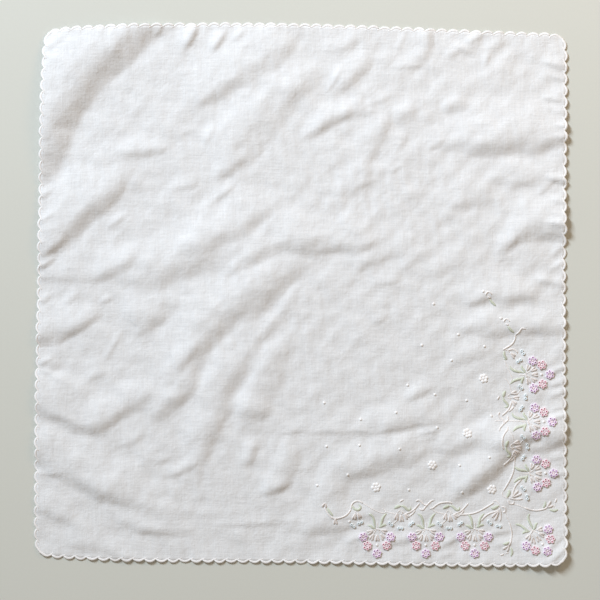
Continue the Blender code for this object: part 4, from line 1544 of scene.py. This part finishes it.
class HANDKERCHIEF_OT_add_lawn(bpy.types.Operator):
    """Adds the sheet of linen with its folds and creases"""

    bl_idname = "handkerchief.add_lawn"
    bl_label = "Linen sheet"

    def execute(self, context):
        bm = bmesh.new()
        weave = bm.loops.layers.uv.new("weave")
        bmesh.ops.create_grid(bm, x_segments=CELLS, y_segments=CELLS, size=0.5)
        for face in bm.faces:
            for loop in face.loops:
                loop[weave].uv = ((loop.vert.co.x + 0.5) * FLAT_WIDTH, (loop.vert.co.y + 0.5) * FLAT_LENGTH)
        extruded = bmesh.ops.extrude_face_region(bm, geom=list(bm.faces), use_keep_orig=True)["geom"]
        lower = [item for item in extruded if isinstance(item, bmesh.types.BMVert)]
        for point in lower:
            point.co.z = -1.0
        inside = 0.5 - WHOLE_RIM_CELLS / CELLS
        inner = [point for point in lower if max(abs(point.co.x), abs(point.co.y)) < inside]
        bmesh.ops.unsubdivide(bm, verts=inner, iterations=2)
        bmesh.ops.recalc_face_normals(bm, faces=bm.faces)
        mesh = bpy.data.meshes.new("linen_sheet")
        bm.to_mesh(mesh)
        bm.free()
        places = read_places(mesh)
        is_lower = places[:, 2] < -0.5
        grid = np.rint((places[:, :2] + 0.5) * CELLS)
        places[:, :2] = outline_and_grid(grid_units(grid[:, 0]), grid_units(grid[:, 1]))
        low = underside(places[:, 0], places[:, 1])
        places[:, 2] = np.where(is_lower, low, low + sheet_thickness())
        write_places(mesh, places * MM)
        settings = context.scene.handkerchief_cloth
        lawn = make_piece(mesh.name, mesh, (make_lawn_material(settings),))
        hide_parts(SOLID)
        return {"FINISHED"}


class HANDKERCHIEF_OT_add_edge(bpy.types.Operator):
    """Adds the corded stitching of the scallops, each with its tail on to the cloth"""

    bl_idname = "handkerchief.add_edge"
    bl_label = "Scalloped cord"

    def execute(self, context):
        stitching = Stitching()
        for path in scallop_paths():
            stitching.add(scallop_stitch(path))
        white = make_thread_material("white_cord", context.scene.handkerchief_threads.white)
        stitching.lay("scalloped_cord", (white,))
        return {"FINISHED"}


class HANDKERCHIEF_OT_add_stems(bpy.types.Operator):
    """Adds the stems and tendrils of the border"""

    bl_idname = "handkerchief.add_stems"
    bl_label = "Stems"

    def execute(self, context):
        stitching = Stitching()
        for part, place in border_parts():
            for stroke in part.strokes:
                stitching.add(stroke_stitch(stroke, place))
        stitching.add(stroke_stitch(LONG_THREAD, from_station(on_right, SPRAYS_ALONG_RIGHT[1])))
        white = make_thread_material("stem_thread", context.scene.handkerchief_threads.stem)
        stitching.lay("stems", (white,))
        return {"FINISHED"}


class HANDKERCHIEF_OT_add_bells(bpy.types.Operator):
    """Adds the white bell flowers of the sprays and between them"""

    bl_idname = "handkerchief.add_bells"
    bl_label = "Bell flowers"

    def execute(self, context):
        stitching = Stitching()
        for part, place in border_parts():
            for bell in part.bells:
                for stitch in bell_stitches(bell, place):
                    stitching.add(stitch)
        white = make_thread_material("bell_thread", context.scene.handkerchief_threads.bell)
        stitching.lay("bell_flowers", (white,))
        return {"FINISHED"}


class HANDKERCHIEF_OT_add_leaves(bpy.types.Operator):
    """Adds the pale green leaves"""

    bl_idname = "handkerchief.add_leaves"
    bl_label = "Leaves"

    def execute(self, context):
        stitching = Stitching()
        for part, place in border_parts():
            for stroke in part.leaves:
                stitching.add(stroke_stitch(stroke, place))
        green = make_thread_material("leaf_green", context.scene.handkerchief_threads.leaf)
        stitching.lay("leaves", (green,))
        return {"FINISHED"}


class HANDKERCHIEF_OT_add_flower_heads(bpy.types.Operator):
    """Adds the lilac and the pink flower heads, each a circle of ring knots"""

    bl_idname = "handkerchief.add_flower_heads"
    bl_label = "Flower heads"

    def execute(self, context):
        threads = context.scene.handkerchief_threads
        # Each thread goes with the painted shade of its knots' hollows
        colours = {"lilac": (threads.lilac, threads.lilac_hollow_shade), "pink": (threads.pink, threads.pink_hollow_shade)}
        chance = np.random.default_rng(FLOWER_SEED)
        knots = {thread: [] for thread in colours}
        for place in spray_places():
            for head in HEADS:
                centre = place(head.side, head.outward)
                knots[head.thread] += circle_of_knots(centre, FLOWER_KNOTS, FLOWER_KNOT_CIRCLE, chance)
        for thread, (colour, hollow_shade) in colours.items():
            stitching = Stitching()
            knot = ring_knot(KNOT_RADIUS, KNOT_THREAD_RADIUS)
            stitching.add_knots(knot, knots[thread], KNOT_TILT, KNOT_LIFT)
            material = make_thread_material(f"{thread}_silk", colour, hollow_shade)
            stitching.lay(f"{thread}_flowers", (material,))
        return {"FINISHED"}


class HANDKERCHIEF_OT_add_white_knots(bpy.types.Operator):
    """Adds the white florets, the scattered dots and the hearts of the flower heads"""

    bl_idname = "handkerchief.add_white_knots"
    bl_label = "Florets and dots"

    def execute(self, context):
        chance = np.random.default_rng(FLOWER_SEED)
        stitching = Stitching()
        petals = []
        for centre in floret_places():
            petals += circle_of_knots(centre, FLORET_KNOTS, FLORET_KNOT_CIRCLE, chance)
            petals.append((*centre, 0.0))
        stitching.add_knots(dome_knot(FLORET_KNOT_RADIUS, FLORET_KNOT_HEIGHT), petals)
        corner_x, corner_y = CORNER_POINT
        dots = [(corner_x - dot.from_right, corner_y + dot.from_bottom, 0.0) for dot in DOTS]
        for part, place in border_parts():
            dots += [(*place(*dot), 0.0) for dot in part.dots]
        stitching.add_knots(dome_knot(DOT_RADIUS, DOT_HEIGHT), dots)
        white = make_thread_material("dot_thread", context.scene.handkerchief_threads.white)
        stitching.lay("florets_and_dots", (white,))
        hearts = [(*place(head.side, head.outward), 0.0) for place in spray_places() for head in HEADS]
        centres = Stitching()
        centres.add_knots(dome_knot(HEART_RADIUS, HEART_HEIGHT), hearts)
        pale = make_thread_material("heart_thread", context.scene.handkerchief_threads.flower_heart)
        centres.lay("flower_hearts", (pale,))
        return {"FINISHED"}


class HANDKERCHIEF_OT_add_blue_knots(bpy.types.Operator):
    """Adds the pairs of pale blue ring knots"""

    bl_idname = "handkerchief.add_blue_knots"
    bl_label = "Blue knots"

    def execute(self, context):
        threads = context.scene.handkerchief_threads
        rings = []
        for part, place in border_parts():
            for pair in part.pairs:
                lean = math.radians(pair.lean)
                for way in (-0.5, 0.5):
                    step = way * PAIR_SPACING
                    x, y = place(pair.along + step * math.cos(lean), pair.inward + step * math.sin(lean))
                    rings.append((x, y, 0.0))
        stitching = Stitching()
        stitching.add_knots(ring_knot(BLUE_KNOT_RADIUS, BLUE_THREAD_RADIUS), rings)
        # The blue knots carry painted shade in their hollows too
        blue = make_thread_material("blue_silk", threads.blue, threads.blue_hollow_shade)
        stitching.lay("blue_knots", (blue,))
        return {"FINISHED"}


class HANDKERCHIEF_OT_add_stage(bpy.types.Operator):
    """Adds the pale table, the window light, the light from all round and the camera above"""

    bl_idname = "handkerchief.add_stage"
    bl_label = "Table, lights and camera"

    def execute(self, context):
        settings = context.scene.handkerchief_stage
        add_table(settings)
        add_lights(context.scene, settings)
        add_camera(context.scene)
        context.scene.view_settings.view_transform = "Standard"
        return {"FINISHED"}


class HANDKERCHIEF_PT_pieces(bpy.types.Panel):
    bl_idname = "HANDKERCHIEF_PT_pieces"
    bl_label = "Linen Handkerchief"
    bl_space_type = "VIEW_3D"
    bl_region_type = "UI"
    bl_category = "Handkerchief"

    def draw(self, context):
        for settings in (
            context.scene.handkerchief_cloth,
            context.scene.handkerchief_threads,
            context.scene.handkerchief_stage,
        ):
            box = self.layout.box()
            for name in settings.__annotations__:
                box.prop(settings, name)
        column = self.layout.column(align=True)
        for operator in OPERATORS:
            column.operator(operator.bl_idname)


OPERATORS = (
    HANDKERCHIEF_OT_add_lawn,
    HANDKERCHIEF_OT_add_edge,
    HANDKERCHIEF_OT_add_stems,
    HANDKERCHIEF_OT_add_bells,
    HANDKERCHIEF_OT_add_leaves,
    HANDKERCHIEF_OT_add_flower_heads,
    HANDKERCHIEF_OT_add_white_knots,
    HANDKERCHIEF_OT_add_blue_knots,
    HANDKERCHIEF_OT_add_stage,
)
SETTINGS = {
    "handkerchief_cloth": ClothSettings,
    "handkerchief_threads": ThreadSettings,
    "handkerchief_stage": StageSettings,
}


def register():
    for group in (*SETTINGS.values(), *OPERATORS, HANDKERCHIEF_PT_pieces):
        bpy.utils.register_class(group)
    for name, group in SETTINGS.items():
        setattr(bpy.types.Scene, name, PointerProperty(type=group))


def unregister():
    for name in SETTINGS:
        delattr(bpy.types.Scene, name)
    for group in (HANDKERCHIEF_PT_pieces, *reversed(OPERATORS), *reversed(SETTINGS.values())):
        bpy.utils.unregister_class(group)


def write_size():
    boxes = {"cad": SOLID_BOX, "visual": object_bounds()}
    for name, box in boxes.items():
        [[round(float(value), 5) for value in corner] for corner in box]


def main():
    register()
    bpy.ops.handkerchief.add_lawn()
    bpy.ops.handkerchief.add_edge()
    bpy.ops.handkerchief.add_stems()
    bpy.ops.handkerchief.add_bells()
    bpy.ops.handkerchief.add_leaves()
    bpy.ops.handkerchief.add_flower_heads()
    bpy.ops.handkerchief.add_white_knots()
    bpy.ops.handkerchief.add_blue_knots()
    bpy.ops.handkerchief.add_stage()
    write_size()


if __name__ == "__main__":
    main()
